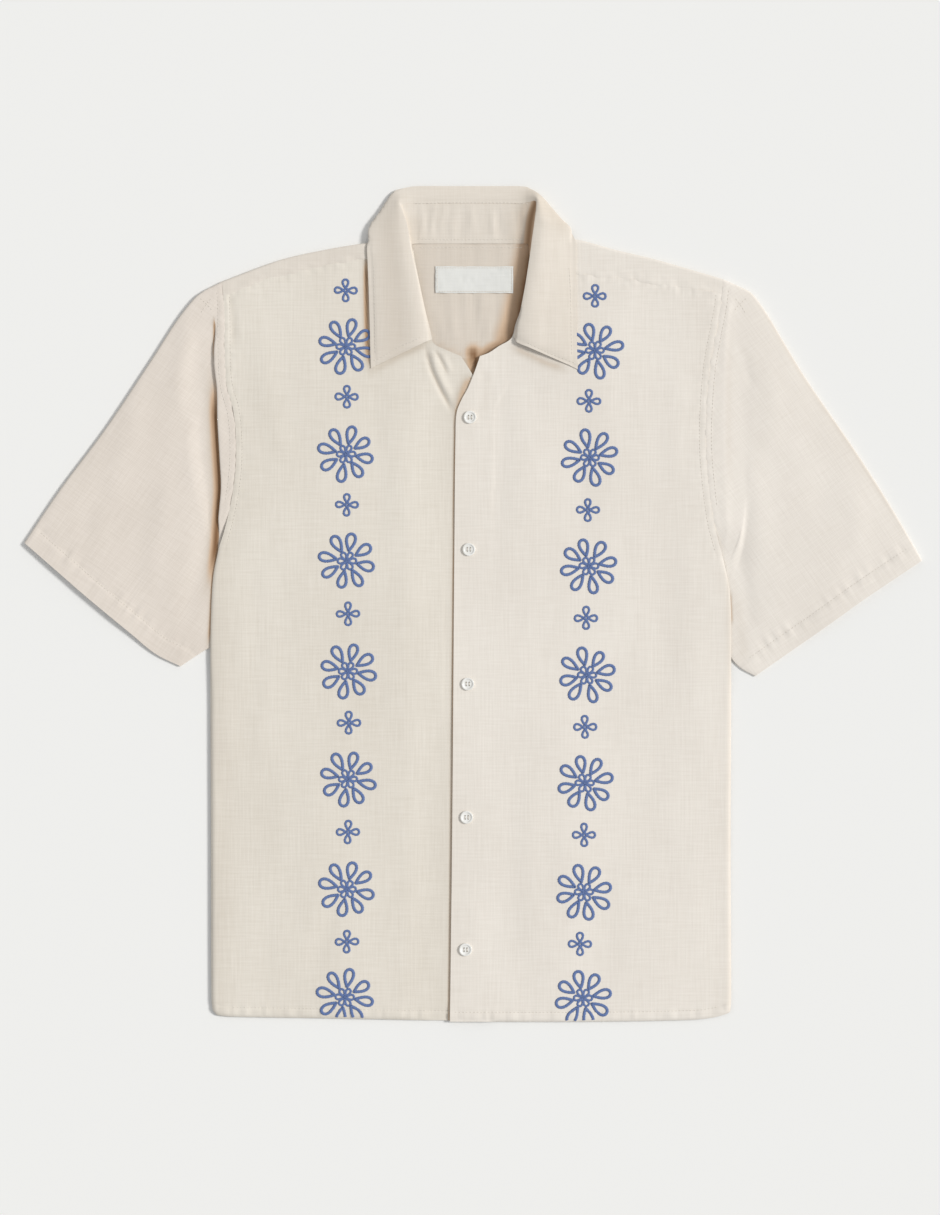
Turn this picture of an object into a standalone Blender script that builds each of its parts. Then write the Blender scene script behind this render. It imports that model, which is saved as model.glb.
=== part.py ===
# Short-sleeve button-front shirt, laid flat on its back with the collar folded down.
# The origin is on the surface, at the middle of the shirt's outline. +X is the viewer's right,
# +Y runs from the hem to the collar, +Z is up. Left and right are the viewer's.
# Tables and heights are in millimetres, and MM turns them into Blender's metres.

import math
from collections import namedtuple

import bpy
from mathutils import Vector

MM = 0.001

# Cloth and the heights of its middle line above the surface
CLOTH = 1.0
LAYER = 1.3
UNDER_Z = CLOTH / 2
BODY_Z = 4.4
SIDE_Z = UNDER_Z + LAYER
OVERHANG_Z = 3.3
UNDERLAP_Z = 2.8
SLEEVE_PUFF_Z = 4.3
SLEEVE_FOLD_Z = 3.0
SLEEVE_TUCKED_Z = 1.8
SLEEVE_LINES = 11
FOLD_HEIGHT = 0.45

# Gap between two pieces that are sewn edge to edge
SEAM_GAP = 0.3

# Widths over which the cloth curves down or under
SIDE_ROLL = 9.0
HEM_ROLL = 8.0
BACK_INSET = 6.0

# Label and buttons
LABEL_SIZE = (70.0, 24.0)
LABEL_CENTRE = (1.0, 292.0)
BUTTON_DIAMETER = 11.5
BUTTON_THICKNESS = 2.4
BUTTON_RIM = 1.5
BUTTON_HOLE_DIAMETER = 1.7
BUTTON_HOLE_PITCH = 2.7
BUTTON_SIDES = 20

Point = namedtuple("Point", "x y")

# The front edge of the right front, which lies on top, from the hem to its top corner
RIGHT_FRONT_EDGE = [Point(-21, -376), Point(-19, -207), Point(-17, 53), Point(-16, 151), Point(-15, 172),
                    Point(-11, 183), Point(-5, 194), Point(0, 206), Point(4, 217), Point(6, 223)]
# The front edge of the left front, which goes under
LEFT_FRONT_EDGE = [Point(4, -375), Point(6, -200), Point(7, 50), Point(8, 150), Point(9, 176),
                   Point(5, 190), Point(0, 205), Point(-11, 223)]

# Necklines of the fronts, from the top corner to the shoulder seam
LEFT_NECKLINE = [Point(-11, 223), Point(-23, 228), Point(-36, 235), Point(-40, 249), Point(-44, 268),
                 Point(-49, 292), Point(-54, 318)]
RIGHT_NECKLINE = [Point(6, 223), Point(14, 226), Point(23, 232), Point(34, 239), Point(38, 252),
                  Point(43, 266), Point(49, 288), Point(51, 303)]

# Seams that join the fronts to the yoke, from the neck to the armhole
LEFT_SHOULDER_SEAM = [Point(-54, 318), Point(-101, 311), Point(-151, 301), Point(-189, 292)]
RIGHT_SHOULDER_SEAM = [Point(51, 303), Point(92, 297), Point(137, 293), Point(175, 287)]

# The folds on top of the shoulders, from the neck to the sleeve
LEFT_SHOULDER_FOLD = [Point(-60, 328), Point(-101, 324), Point(-151, 315), Point(-178, 308), Point(-226, 290)]
RIGHT_SHOULDER_FOLD = [Point(56, 331), Point(92, 328), Point(126, 319), Point(167, 309), Point(225, 292)]

# Armhole seams, from the shoulder to the underarm
LEFT_ARMHOLE = [Point(-226, 290), Point(-224, 270), Point(-224, 209), Point(-221, 188), Point(-214, 178),
                Point(-213, 140), Point(-214, 118), Point(-219, 84), Point(-224, 66), Point(-229, 50)]
RIGHT_ARMHOLE = [Point(225, 292), Point(223, 270), Point(218, 243), Point(213, 215), Point(210, 180),
                 Point(209, 148), Point(211, 115), Point(216, 76), Point(225, 40)]

# Side seams, from the underarm to the hem
LEFT_SIDE = [Point(-229, 50), Point(-234, 24), Point(-236, -13), Point(-236.5, -54), Point(-236, -200),
             Point(-235, -350), Point(-230, -369)]
RIGHT_SIDE = [Point(225, 40), Point(231, 9), Point(232, -54), Point(231, -221), Point(230, -352),
              Point(225, -370)]

# Hems, from the front edge to the side
LEFT_HEM = [Point(4, -375), Point(-25, -375), Point(-129, -373), Point(-220, -371), Point(-230, -369)]
RIGHT_HEM = [Point(-21, -376), Point(109, -376), Point(199, -374), Point(218, -372), Point(225, -370)]

# The folded edge of each sleeve over the arm, from the shoulder to the cuff
LEFT_OVER_ARM = [Point(-226, 290), Point(-233, 287), Point(-250, 276), Point(-266, 256), Point(-288, 222),
                 Point(-330, 159), Point(-371, 104), Point(-404, 55)]
RIGHT_OVER_ARM = [Point(225, 292), Point(234, 288), Point(251, 279), Point(266, 258), Point(276, 241),
                  Point(299, 203), Point(346, 134), Point(379, 82), Point(404, 39)]
# The folded edge under the arm, from the underarm to the cuff, hidden under the body's side at first
LEFT_UNDER_ARM = [Point(-229, 50), Point(-230.5, 20), Point(-231.5, -15), Point(-233, -36),
                  Point(-243, -42), Point(-264, -56)]
RIGHT_UNDER_ARM = [Point(225, 40), Point(227.5, 10), Point(228, -25), Point(231, -46), Point(240, -57),
                   Point(254, -65)]
# Cuffs, from over the arm to under it
LEFT_CUFF = [Point(-404, 55), Point(-373, 28), Point(-349, 7), Point(-308, -27), Point(-286, -45),
             Point(-264, -56)]
RIGHT_CUFF = [Point(404, 39), Point(371, 17), Point(349, 2), Point(317, -21), Point(284, -44),
              Point(254, -65)]

# The left sleeve's head is tucked: it runs out over the sleeve to this folded edge, then back under itself
LEFT_TUCK_EDGE = [Point(-234, 286), Point(-233, 262), Point(-233, 240), Point(-233.5, 215),
                  Point(-232, 193), Point(-231, 165), Point(-229.5, 130), Point(-229, 105),
                  Point(-230.5, 76), Point(-229.6, 44)]
# The right sleeve's head runs out to a soft ridge
RIGHT_RIDGE = [Point(234, 288), Point(231, 268), Point(228, 243), Point(227, 215), Point(227, 180),
               Point(227, 148), Point(228, 115), Point(229, 70), Point(225.6, 34)]

# One row for each line across the sleeve's head. reach is from the seam, 0, to the folded edge, 1.
HeadLine = namedtuple("HeadLine", "reach z")
TUCKED_HEAD = [HeadLine(0.03, 4.4), HeadLine(0.45, 4.5), HeadLine(0.93, 4.5), HeadLine(1.0, 3.85),
               HeadLine(0.93, 3.2), HeadLine(0.42, 3.1), HeadLine(0.35, 2.45), HeadLine(0.42, 1.8),
               HeadLine(1.15, 1.8), HeadLine(1.9, 2.2)]
RIDGED_HEAD = [HeadLine(0.03, 4.4), HeadLine(0.4, 4.6), HeadLine(0.8, 5.0), HeadLine(1.0, 4.9),
               HeadLine(1.25, 3.9), HeadLine(1.9, 3.6)]
# Where along the armhole the tuck starts and ends, from the shoulder, 0, to the underarm, 1
TUCK_STARTS, TUCK_FULL, TUCK_EASES, TUCK_ENDS = 0.10, 0.24, 0.86, 0.98

# Collar, one row for each line across it, from the left point round the back to the right point.
# roll is where it joins the stand, side its outermost line, edge its free edge; wrap is 0 where the
# leaf lies on the front and 1 where it is folded under the back of the neck.
CollarLine = namedtuple("CollarLine", "roll side edge wrap")
COLLAR = [
    CollarLine((-42, 236, 8.0), (-84, 216, 6.7), (-92, 212, 6.2), 0.0),
    CollarLine((-43, 246, 8.8), (-85, 227, 7.0), (-92.5, 224, 6.2), 0.0),
    CollarLine((-46, 263, 9.6), (-86, 250, 7.2), (-93, 248, 6.2), 0.0),
    CollarLine((-51, 294, 10.0), (-87, 284, 7.2), (-94, 282, 6.2), 0.0),
    CollarLine((-56, 318, 9.8), (-88, 308, 7.2), (-95, 307, 6.3), 0.0),
    CollarLine((-58, 328, 9.6), (-88, 321, 7.2), (-95, 322, 6.4), 0.0),
    CollarLine((-61, 342, 8.6), (-91, 338, 4.8), (-87, 335, 2.4), 0.5),
    CollarLine((-64, 353, 7.2), (-82, 353, 3.4), (-74, 336, 0.7), 1.0),
    CollarLine((-60, 361, 5.3), (-69, 371, 2.8), (-58, 332, 0.7), 1.0),
    CollarLine((-50, 363, 3.9), (-52, 375.6, 2.0), (-48, 331, 0.7), 1.0),
    CollarLine((-25, 363, 3.6), (-25, 376, 1.9), (-25, 331, 0.7), 1.0),
    CollarLine((0, 363, 3.6), (0, 376, 1.9), (0, 331, 0.7), 1.0),
    CollarLine((22, 363, 3.6), (22, 376, 1.9), (22, 331, 0.7), 1.0),
    CollarLine((42, 363, 3.9), (44, 375.6, 2.0), (42, 331, 0.7), 1.0),
    CollarLine((52, 361, 5.5), (59, 370, 2.9), (50, 332, 0.7), 1.0),
    CollarLine((56, 350, 8.4), (75, 351.5, 3.6), (66, 337, 0.7), 1.0),
    CollarLine((55, 340, 10.2), (88, 337.5, 5.0), (84, 338, 2.4), 0.5),
    CollarLine((53, 327, 12.0), (86, 323, 7.4), (92, 325, 6.6), 0.0),
    CollarLine((51, 312, 12.8), (86, 305, 7.4), (92, 304, 6.3), 0.0),
    CollarLine((47, 288, 13.0), (86, 280, 7.4), (92.5, 279, 6.2), 0.0),
    CollarLine((42.5, 264, 12.0), (86, 249, 7.4), (93, 247, 6.2), 0.0),
    CollarLine((40, 248, 10.2), (86, 226, 7.2), (93.5, 223, 6.2), 0.0),
    CollarLine((39.5, 235, 8.4), (86, 215, 6.8), (94, 211, 6.2), 0.0)]

# The stand's lower edge at each of those lines, where it is sewn to the neckline
STAND_FOOT = [
    (-37, 238, 5.8), (-39, 247, 5.8), (-43, 263, 5.8), (-48, 290, 5.8), (-51, 306, 5.8), (-51, 312, 5.0),
    (-50, 318, 3.2), (-51, 320, 2.0), (-50, 320, 1.8), (-45, 320, 1.8), (-25, 320, 1.8), (0, 320, 1.8),
    (22, 320, 1.8), (39, 320, 1.8), (45, 320, 1.8), (46, 319, 2.2), (45.5, 314, 3.4), (46, 305, 5.0),
    (49, 298, 5.8), (47.5, 285, 5.8), (42, 263, 5.8), (38.5, 250, 5.8), (36, 241, 5.8)]

# Where the yoke ends at the back of the neck
NECK_SEAM_Y = 326.5

# Button centres, from the top
BUTTONS = [Point(-3, 168), Point(-4, 49), Point(-5, -72), Point(-6, -192), Point(-7, -311)]

MATERIALS = {
    # name: colour (linear), roughness
    "linen_cloth": ((0.76, 0.70, 0.62, 1.0), 0.85),
    "label_tape": ((0.84, 0.85, 0.82, 1.0), 0.7),
    "button_resin": ((0.90, 0.89, 0.86, 1.0), 0.3),
}


def clear_objects():
    for obj in list(bpy.data.objects):
        bpy.data.objects.remove(obj, do_unlink=True)


def material(name):
    found = bpy.data.materials.get(name)
    if found:
        return found
    colour, roughness = MATERIALS[name]
    made = bpy.data.materials.new(name)
    made.use_nodes = True
    shader = made.node_tree.nodes["Principled BSDF"]
    shader.inputs["Base Color"].default_value = colour
    shader.inputs["Roughness"].default_value = roughness
    shader.inputs["Metallic"].default_value = 0.0
    made.diffuse_color = colour
    return made


def mix(a, b, amount):
    return a + (b - a) * amount


def ease(value, start, end):
    """A soft step from 0 at start to 1 at end."""
    u = min(max((value - start) / (end - start), 0.0), 1.0)
    return u * u * (3 - 2 * u)


def quarter_round(distance, width):
    """Rises from 0 at an edge to 1 at the given width, like a quarter of a circle."""
    u = min(max(distance / width, 0.0), 1.0)
    return math.sqrt(1 - (1 - u) ** 2)


def cosine_steps(count):
    """Fractions from 0 to 1, closer together near both ends."""
    return [0.5 - 0.5 * math.cos(math.pi * i / count) for i in range(count + 1)]


class Curve:
    """A smooth plane curve through points, read by the fraction of its length."""

    def __init__(self, points):
        self.knots = [Vector((p[0], p[1])) for p in points]
        self.at = [0.0]
        for a, b in zip(self.knots, self.knots[1:]):
            self.at.append(self.at[-1] + (b - a).length)
        self.length = self.at[-1]

    def slope(self, i):
        before, after = max(i - 1, 0), min(i + 1, len(self.knots) - 1)
        return (self.knots[after] - self.knots[before]) / (self.at[after] - self.at[before])

    def __call__(self, fraction):
        where = min(max(fraction, 0.0), 1.0) * self.length
        i = 0
        while i < len(self.knots) - 2 and self.at[i + 1] < where:
            i += 1
        span = self.at[i + 1] - self.at[i]
        u = (where - self.at[i]) / span
        from_start = self.knots[i] * (1 + 2 * u) * (1 - u) ** 2 + self.slope(i) * span * u * (1 - u) ** 2
        from_end = self.knots[i + 1] * u * u * (3 - 2 * u) + self.slope(i + 1) * span * u * u * (u - 1)
        return from_start + from_end

    def x_at(self, y):
        """The curve's x at a height y, for a curve that runs up or down."""
        low, high = (0.0, 1.0) if self.knots[0].y < self.knots[-1].y else (1.0, 0.0)
        for _ in range(30):
            middle = (low + high) / 2
            if self(middle).y < y:
                low = middle
            else:
                high = middle
        return self((low + high) / 2).x


def joined(*tables):
    """One list of points from tables that meet end to end."""
    points = list(tables[0])
    for table in tables[1:]:
        points += list(table)[1:]
    return points


class Patch:
    """A panel's plan between four edges: start and end run across it, first and last along it."""

    FADE = 3

    def __init__(self, start, end, first, last):
        self.start, self.end, self.first, self.last = start, end, first, last

    def __call__(self, along, across):
        first, last = self.first(along), self.last(along)
        ruled = mix(first, last, across)
        bow_start = self.start(across) - mix(self.start(0), self.start(1), across)
        bow_end = self.end(across) - mix(self.end(0), self.end(1), across)
        return ruled + bow_start * (1 - along) ** self.FADE + bow_end * along ** self.FADE


class Chain:
    """Two curves end to end, with a corner where they meet, at the given fraction."""

    def __init__(self, first, second, corner):
        self.first, self.second, self.corner = first, second, corner

    def __call__(self, fraction):
        if fraction < self.corner:
            return self.first(fraction / self.corner)
        return self.second((fraction - self.corner) / (1 - self.corner))


class Chords:
    """Straight lines between a curve's points at the given fractions, as on the piece sewn along it."""

    def __init__(self, curve, fractions):
        self.spots = [(fraction, curve(fraction)) for fraction in fractions]

    def __call__(self, fraction):
        for (low, start), (high, end) in zip(self.spots, self.spots[1:]):
            if fraction <= high:
                return mix(start, end, (fraction - low) / (high - low))
        return self.spots[-1][1]


class Stretch:
    """Part of a curve, from one fraction of it to another."""

    def __init__(self, curve, start, end):
        self.curve, self.start, self.end = curve, start, end

    def __call__(self, fraction):
        return self.curve(mix(self.start, self.end, fraction))


# The armholes' steps are shared by all that is sewn there, so the seams match: the shoulder seam
# on the front ends at one of them, and the yoke seam on the back at another. The underside has fewer.
ARMHOLE_STEPS = cosine_steps(14)
FRONT_SEAM_STEP = 2
BACK_SEAM_STEP = 5
NECK_STEP = 6
UNDERSIDE_STEPS = (2, 3, 5, 7, 9, 11, 12)
YOKE_STEPS = [n for n in UNDERSIDE_STEPS if n <= BACK_SEAM_STEP]
SHOULDER_STEPS = [i / 8 for i in range(9)]
SIDE_SHARE = 0.62

right_edge = Curve(RIGHT_FRONT_EDGE)
left_armhole, right_armhole = Curve(LEFT_ARMHOLE), Curve(RIGHT_ARMHOLE)
left_seam, right_seam = (Curve(seam + [armhole(ARMHOLE_STEPS[FRONT_SEAM_STEP])])
                         for seam, armhole in ((LEFT_SHOULDER_SEAM, left_armhole),
                                               (RIGHT_SHOULDER_SEAM, right_armhole)))


def cloth_solid(name, grid, skipped=(), closed=False, slot="linen_cloth"):
    """A closed wall of cloth around a grid of middle points, rows of equal length, in millimetres.

    closed joins each row's end to its start. skipped holds the (row, column) cells to leave out.
    """
    columns = len(grid[0])
    vertices = [Vector(point) * MM for row in grid for point in row]
    faces = []
    for r in range(len(grid) - 1):
        for c in range(columns if closed else columns - 1):
            if (r, c) in skipped:
                continue
            n = (c + 1) % columns
            faces.append((r * columns + c, r * columns + n, (r + 1) * columns + n, (r + 1) * columns + c))
    used = sorted({v for face in faces for v in face})
    renumbered = {old: new for new, old in enumerate(used)}
    mesh = bpy.data.meshes.new(name)
    mesh.from_pydata([vertices[v] for v in used], [], [[renumbered[v] for v in face] for face in faces])
    mesh.materials.append(material(slot))
    mesh.shade_smooth()
    solid = bpy.data.objects.new(name, mesh)
    bpy.context.collection.objects.link(solid)
    wall = solid.modifiers.new("Cloth wall", 'SOLIDIFY')
    wall.thickness = CLOTH * MM
    wall.offset = 0.0
    wall.use_even_offset = False
    wall.use_quality_normals = True
    wall.use_rim = True
    return solid


def with_soft_folds(x, y, z):
    """Lifts a height by the slow folds of cloth that has been laid down, least where it lies lowest."""
    fold = 0.5 + 0.5 * math.sin(x / 23 + 0.8 * math.sin(y / 61)) * math.cos(y / 47 + x / 90)
    share = mix(0.3, 1.0, min(max((z - SIDE_Z) / (BODY_Z - SIDE_Z), 0.0), 1.0))
    return z + FOLD_HEIGHT * fold * share * (1 - ease(y, 140, 200))


def front_height(point, side_x, hem_y):
    """The middle height of a front at a plan point, curving down to the side and the hem."""
    low_at_side = mix(SIDE_Z, OVERHANG_Z, ease(point.y, -90, -45))
    z = mix(low_at_side, BODY_Z, quarter_round(abs(side_x - point.x), SIDE_ROLL))
    z = mix(z, BODY_Z, ease(point.y, 35, 75))
    return mix(SIDE_Z, z, quarter_round(point.y - hem_y, HEM_ROLL))


def left_front_height(point, side_x, hem_y):
    """The left front sinks where the right front lies on it."""
    over = point.x - right_edge.x_at(point.y)
    z = front_height(point, side_x, hem_y)
    under_z = mix(SIDE_Z, UNDERLAP_Z, ease(point.y - hem_y, 0, 20))
    return mix(z, min(z, under_z), ease(over, -22, -9) * (1 - ease(point.y, 213, 229)))


def right_front_height(point, side_x, hem_y):
    """The right front stays clear of the left front where it lies on it."""
    z = front_height(point, side_x, hem_y)
    over = point.x - right_edge.x_at(point.y)
    lap_z = max(z, SIDE_Z + 1.5 * LAYER)
    return mix(lap_z, z, ease(over, 32, 44))


def build_front(name, edge, neckline, seam, armhole, side, hem, height):
    """A front panel from its edges: rows run from the hem to the neck, columns from the front edge."""
    side_curve = Curve(side)
    seam_step = ARMHOLE_STEPS[FRONT_SEAM_STEP]
    armhole_steps = [(1 - t) / (1 - seam_step) for t in reversed(ARMHOLE_STEPS[FRONT_SEAM_STEP:])]
    neck_step = (1 - ARMHOLE_STEPS[NECK_STEP]) / (1 - seam_step)
    armhole_up = Chords(Stretch(armhole, 1.0, seam_step), armhole_steps)
    outer = Chain(Curve(list(reversed(side))), armhole_up, SIDE_SHARE)
    inner = Chain(Curve(edge), Curve(neckline), mix(SIDE_SHARE, 1.0, neck_step))
    patch = Patch(Curve(hem), seam, inner, outer)
    rows = [SIDE_SHARE * u for u in (0.0, 0.008, 0.022, 0.05)]
    rows += [SIDE_SHARE * (0.05 + 0.95 * i / 11) for i in range(1, 11)]
    halves = [mix(a, b, 0.5) for a, b in zip(armhole_steps, armhole_steps[1:]) if b > 0.4]
    rows += [mix(SIDE_SHARE, 1.0, u) for u in sorted(armhole_steps + halves)]
    columns = sorted(SHOULDER_STEPS + [1 / 24, 1 / 12, 1 / 6, 5 / 24, 0.95, 0.985])
    inward = 1 if side[0].x < 0 else -1
    grid = []
    for along in rows:
        row = []
        for across in columns:
            point = patch(along, across)
            hem_y = patch(0, across).y
            side_x = side_curve.x_at(min(point.y, side[0].y))
            z = height(point, side_x, hem_y)
            trim = SEAM_GAP if along >= SIDE_SHARE and across == 1.0 else 0.0
            row.append((point.x + inward * trim, point.y, with_soft_folds(point.x, point.y, z)))
        grid.append(row)
    return cloth_solid(name, grid)


def build_back():
    """The back lies flat from the hem to the yoke seam, its sides kept in from the fronts' sides."""
    sides = [(Curve(LEFT_SIDE), left_armhole, 1), (Curve(RIGHT_SIDE), right_armhole, -1)]
    ends = []
    for side, armhole, inward in sides:
        line = []
        for step in range(13):
            point = side(1 - step / 12)
            inset = mix(0.6, BACK_INSET, ease(point.y, -75, -52) * (1 - ease(point.y, 44, 54)))
            line.append((point.x + inward * inset, point.y + (1.5 if step == 0 else 0.0)))
        for step in reversed([n for n in UNDERSIDE_STEPS if n >= BACK_SEAM_STEP]):
            point = armhole(ARMHOLE_STEPS[step])
            line.append((point.x + inward * SEAM_GAP, point.y))
        ends.append(line)
    bow = 5.0
    grid = []
    for row, ((x0, y0), (x1, y1)) in enumerate(zip(*ends)):
        sag = bow * (1 - row / (len(ends[0]) - 1))
        grid.append([(mix(x0, x1, u), mix(y0, y1, u) - sag * (1 - (2 * u - 1) ** 4), UNDER_Z)
                     for u in [c / 8 for c in range(9)]])
    return cloth_solid("back", grid)


def shoulder_column(fold, seam, armhole, inward, fraction):
    """One line along the yoke: from its lower seam up, round the shoulder's fold, to the front seam."""
    radius = (BODY_Z - UNDER_Z) / 2
    top, foot = fold(fraction), seam(fraction)
    low = armhole(ARMHOLE_STEPS[BACK_SEAM_STEP])
    column = []
    for step in reversed(YOKE_STEPS):
        edge = armhole(ARMHOLE_STEPS[step])
        share = (edge.y - low.y) / (armhole(0).y - low.y)
        y = mix(low.y + SEAM_GAP, top.y - radius, share)
        column.append((mix(top.x, edge.x + inward * SEAM_GAP, fraction), y, UNDER_Z))
    for angle in (0, 36, 72, 108, 144, 180):
        turn = math.radians(angle)
        column.append((top.x + inward * SEAM_GAP * fraction, top.y - radius + radius * math.sin(turn),
                       UNDER_Z + radius - radius * math.cos(turn)))
    end = foot + (top - foot).normalized() * SEAM_GAP
    column.append((end.x + inward * SEAM_GAP * fraction, end.y, BODY_Z))
    return column


def build_yoke():
    """The yoke lies under the neck, and turns over each shoulder to the fronts' shoulder seams."""
    left = [shoulder_column(Curve(LEFT_SHOULDER_FOLD), left_seam, left_armhole, 1, f)
            for f in reversed(SHOULDER_STEPS)]
    right = [shoulder_column(Curve(RIGHT_SHOULDER_FOLD), right_seam, right_armhole, -1, f)
             for f in SHOULDER_STEPS]
    flat_rows = len(YOKE_STEPS)
    neck_steps = 6
    neck = []
    for i in range(1, neck_steps):
        u = i / neck_steps
        ends = [(left[-1][r], right[0][r]) for r in range(flat_rows)]
        column = [tuple(mix(Vector(a), Vector(b), u)) for a, b in ends]
        column.append((column[-1][0], NECK_SEAM_Y, UNDER_Z))
        neck.append(column + [column[-1]] * (len(left[0]) - len(column)))
    neck_cells = {(c, r) for c in range(len(left) - 1, len(left) - 1 + neck_steps)
                  for r in range(flat_rows, len(left[0]) - 1)}
    return cloth_solid("yoke", left + neck + right, skipped=neck_cells)


def head_line(armhole, turn_edge, head, number, tucked):
    """One line across a sleeve's head: its plan points and heights on top, and its plan points below."""
    line, share = head[number], number / (len(head) - 1)
    even_reach = mix(head[0].reach, head[-1].reach, share)
    tops, heights, belows = [], [], []
    for t in ARMHOLE_STEPS:
        strip = turn_edge(t) - armhole(t)
        if tucked:
            full = ease(t, TUCK_STARTS, TUCK_FULL) * (1 - ease(t, TUCK_EASES, TUCK_ENDS))
        else:
            full = ease(t, 0.02, 0.1)
        flat_z = mix(mix(BODY_Z, BODY_Z - 0.3, share), mix(BODY_Z, head[-1].z, share), ease(t, 0.1, 0.5))
        tops.append(armhole(t) + strip * mix(even_reach, line.reach, full))
        z = mix(flat_z, line.z, full)
        heights.append(mix(z, SLEEVE_TUCKED_Z, ease(t, 0.84, 0.97)))
        belows.append(armhole(t) + strip * even_reach)
    return tops, heights, belows


def tube_ring(tops, heights, belows):
    """One closed ring of a flattened tube: over the top, round a fold, back below, round the other fold."""
    def turn(edge, inner, height):
        radius = (height - UNDER_Z) / 2
        inward = (inner - edge).normalized()
        spots = []
        for angle in (-90, -45, 0, 45, 90):
            a = math.radians(angle)
            spot = edge + inward * radius * (1 - math.cos(a))
            spots.append((spot.x, spot.y, UNDER_Z + radius + radius * math.sin(a)))
        return spots

    heights = [with_soft_folds(p.x, p.y, z) for p, z in zip(tops, heights)]
    ring = turn(tops[0], tops[1], heights[0])
    ring += [(p.x, p.y, z) for p, z in zip(tops[2:-2], heights[2:-2])]
    ring += reversed(turn(tops[-1], tops[-2], heights[-1]))
    ring += [(belows[i].x, belows[i].y, UNDER_Z) for i in reversed(UNDERSIDE_STEPS)]
    return ring


def build_sleeve(name, armhole, turn_table, head, over, under, cuff, tucked):
    """A flattened tube: lines across it run from the fold over the arm to the fold under the arm."""
    turn_edge = Curve(turn_table)
    lines = [head_line(armhole, turn_edge, head, number, tucked) for number in range(len(head))]
    start_points, start_z, _ = lines[-1]
    over_curve = Curve([start_points[0]] + over[2:])
    under_curve = Curve([start_points[-1]] + under[1:])
    patch = Patch(Curve(start_points), Curve(cuff), over_curve, under_curve)
    for step in range(1, SLEEVE_LINES + 1):
        s = step / SLEEVE_LINES
        points = [patch(s, t) for t in ARMHOLE_STEPS]
        heights = []
        for t, z0 in zip(ARMHOLE_STEPS, start_z):
            puff = min(quarter_round(t, 0.2), ease(1 - t, 0.05, 0.5)) * (1 - 0.2 * ease(s, 0.7, 1.0))
            edge_z = mix(SLEEVE_FOLD_Z, SLEEVE_TUCKED_Z, ease(t, 0.4, 1.0))
            heights.append(mix(z0, mix(edge_z, SLEEVE_PUFF_Z, puff), ease(s, 0.0, 0.2)))
        lines.append((points, heights, points))
    return cloth_solid(name, [tube_ring(*line) for line in lines], closed=True)


def between(rows, per_span):
    """Rows of numbers with others between them, on a smooth curve through the given ones."""
    filled = []
    for i in range(len(rows) - 1):
        a, b = Vector(rows[i]), Vector(rows[i + 1])
        before, after = Vector(rows[max(i - 1, 0)]), Vector(rows[min(i + 2, len(rows) - 1)])
        for step in range(per_span):
            u = step / per_span
            slope_a, slope_b = (b - before) / 2, (after - a) / 2
            filled.append(a * (1 + 2 * u) * (1 - u) ** 2 + slope_a * u * (1 - u) ** 2
                          + b * u * u * (3 - 2 * u) + slope_b * u * u * (u - 1))
    filled.append(Vector(rows[-1]))
    return filled


def collar_lines():
    """The collar's lines with one more in each gap of the table, so its outline is round at the neck."""
    rows = between([line.roll + line.side + line.edge + (line.wrap,) for line in COLLAR], 2)
    return [CollarLine(tuple(r[0:3]), tuple(r[3:6]), tuple(r[6:9]), min(max(r[9], 0.0), 1.0)) for r in rows]


def collar_line(line):
    """The points across the collar at one of its lines, from the roll to the free edge."""
    roll, side, edge = Vector(line.roll), Vector(line.side), Vector(line.edge)
    crest = mix(roll, side, 0.22)
    crest.z = roll.z + mix(1.0, 0.2, line.wrap)
    shoulder = mix(roll, side, 0.6)
    shoulder.z = mix(roll.z, side.z, 0.42) + mix(0.4, 0.1, line.wrap)
    under_front = mix(side, edge, 0.5)
    under_back = mix(side, edge, 0.14)
    under_back.z = UNDER_Z + 0.2
    under = mix(under_front, under_back, line.wrap)
    turn = mix(side, under, 0.45)
    turn.z -= 0.15 * line.wrap
    return [roll, crest, shoulder, side, turn, under, mix(under, edge, 0.5), edge]


def build_collar():
    """The collar's leaves lie on the fronts, and its middle is folded under at the back of the neck."""
    return cloth_solid("collar", [[tuple(p) for p in collar_line(line)] for line in collar_lines()])


def build_stand():
    """The stand runs round the neck, from the neckline up to where the collar rolls over."""
    grid = []
    for line, foot in zip(collar_lines(), between(STAND_FOOT, 2)):
        roll = Vector(line.roll)
        top = roll - (roll - foot).normalized() * SEAM_GAP * 3.5
        top.z -= 1.2 * (1 - line.wrap)
        rise = (0.0, 0.35, 0.7, 1.0)
        grid.append([tuple(mix(foot, top, u)) for u in rise])
    return cloth_solid("collar_stand", grid)


def build_label():
    width, height = LABEL_SIZE
    x, y = LABEL_CENTRE
    z = UNDER_Z + LAYER
    grid = [[(x + width * (u - 0.5), y + height * (v - 0.5), z) for u in (0, 0.25, 0.5, 0.75, 1)]
            for v in (0, 0.5, 1)]
    return cloth_solid("neck_label", grid, slot="label_tape")


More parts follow.
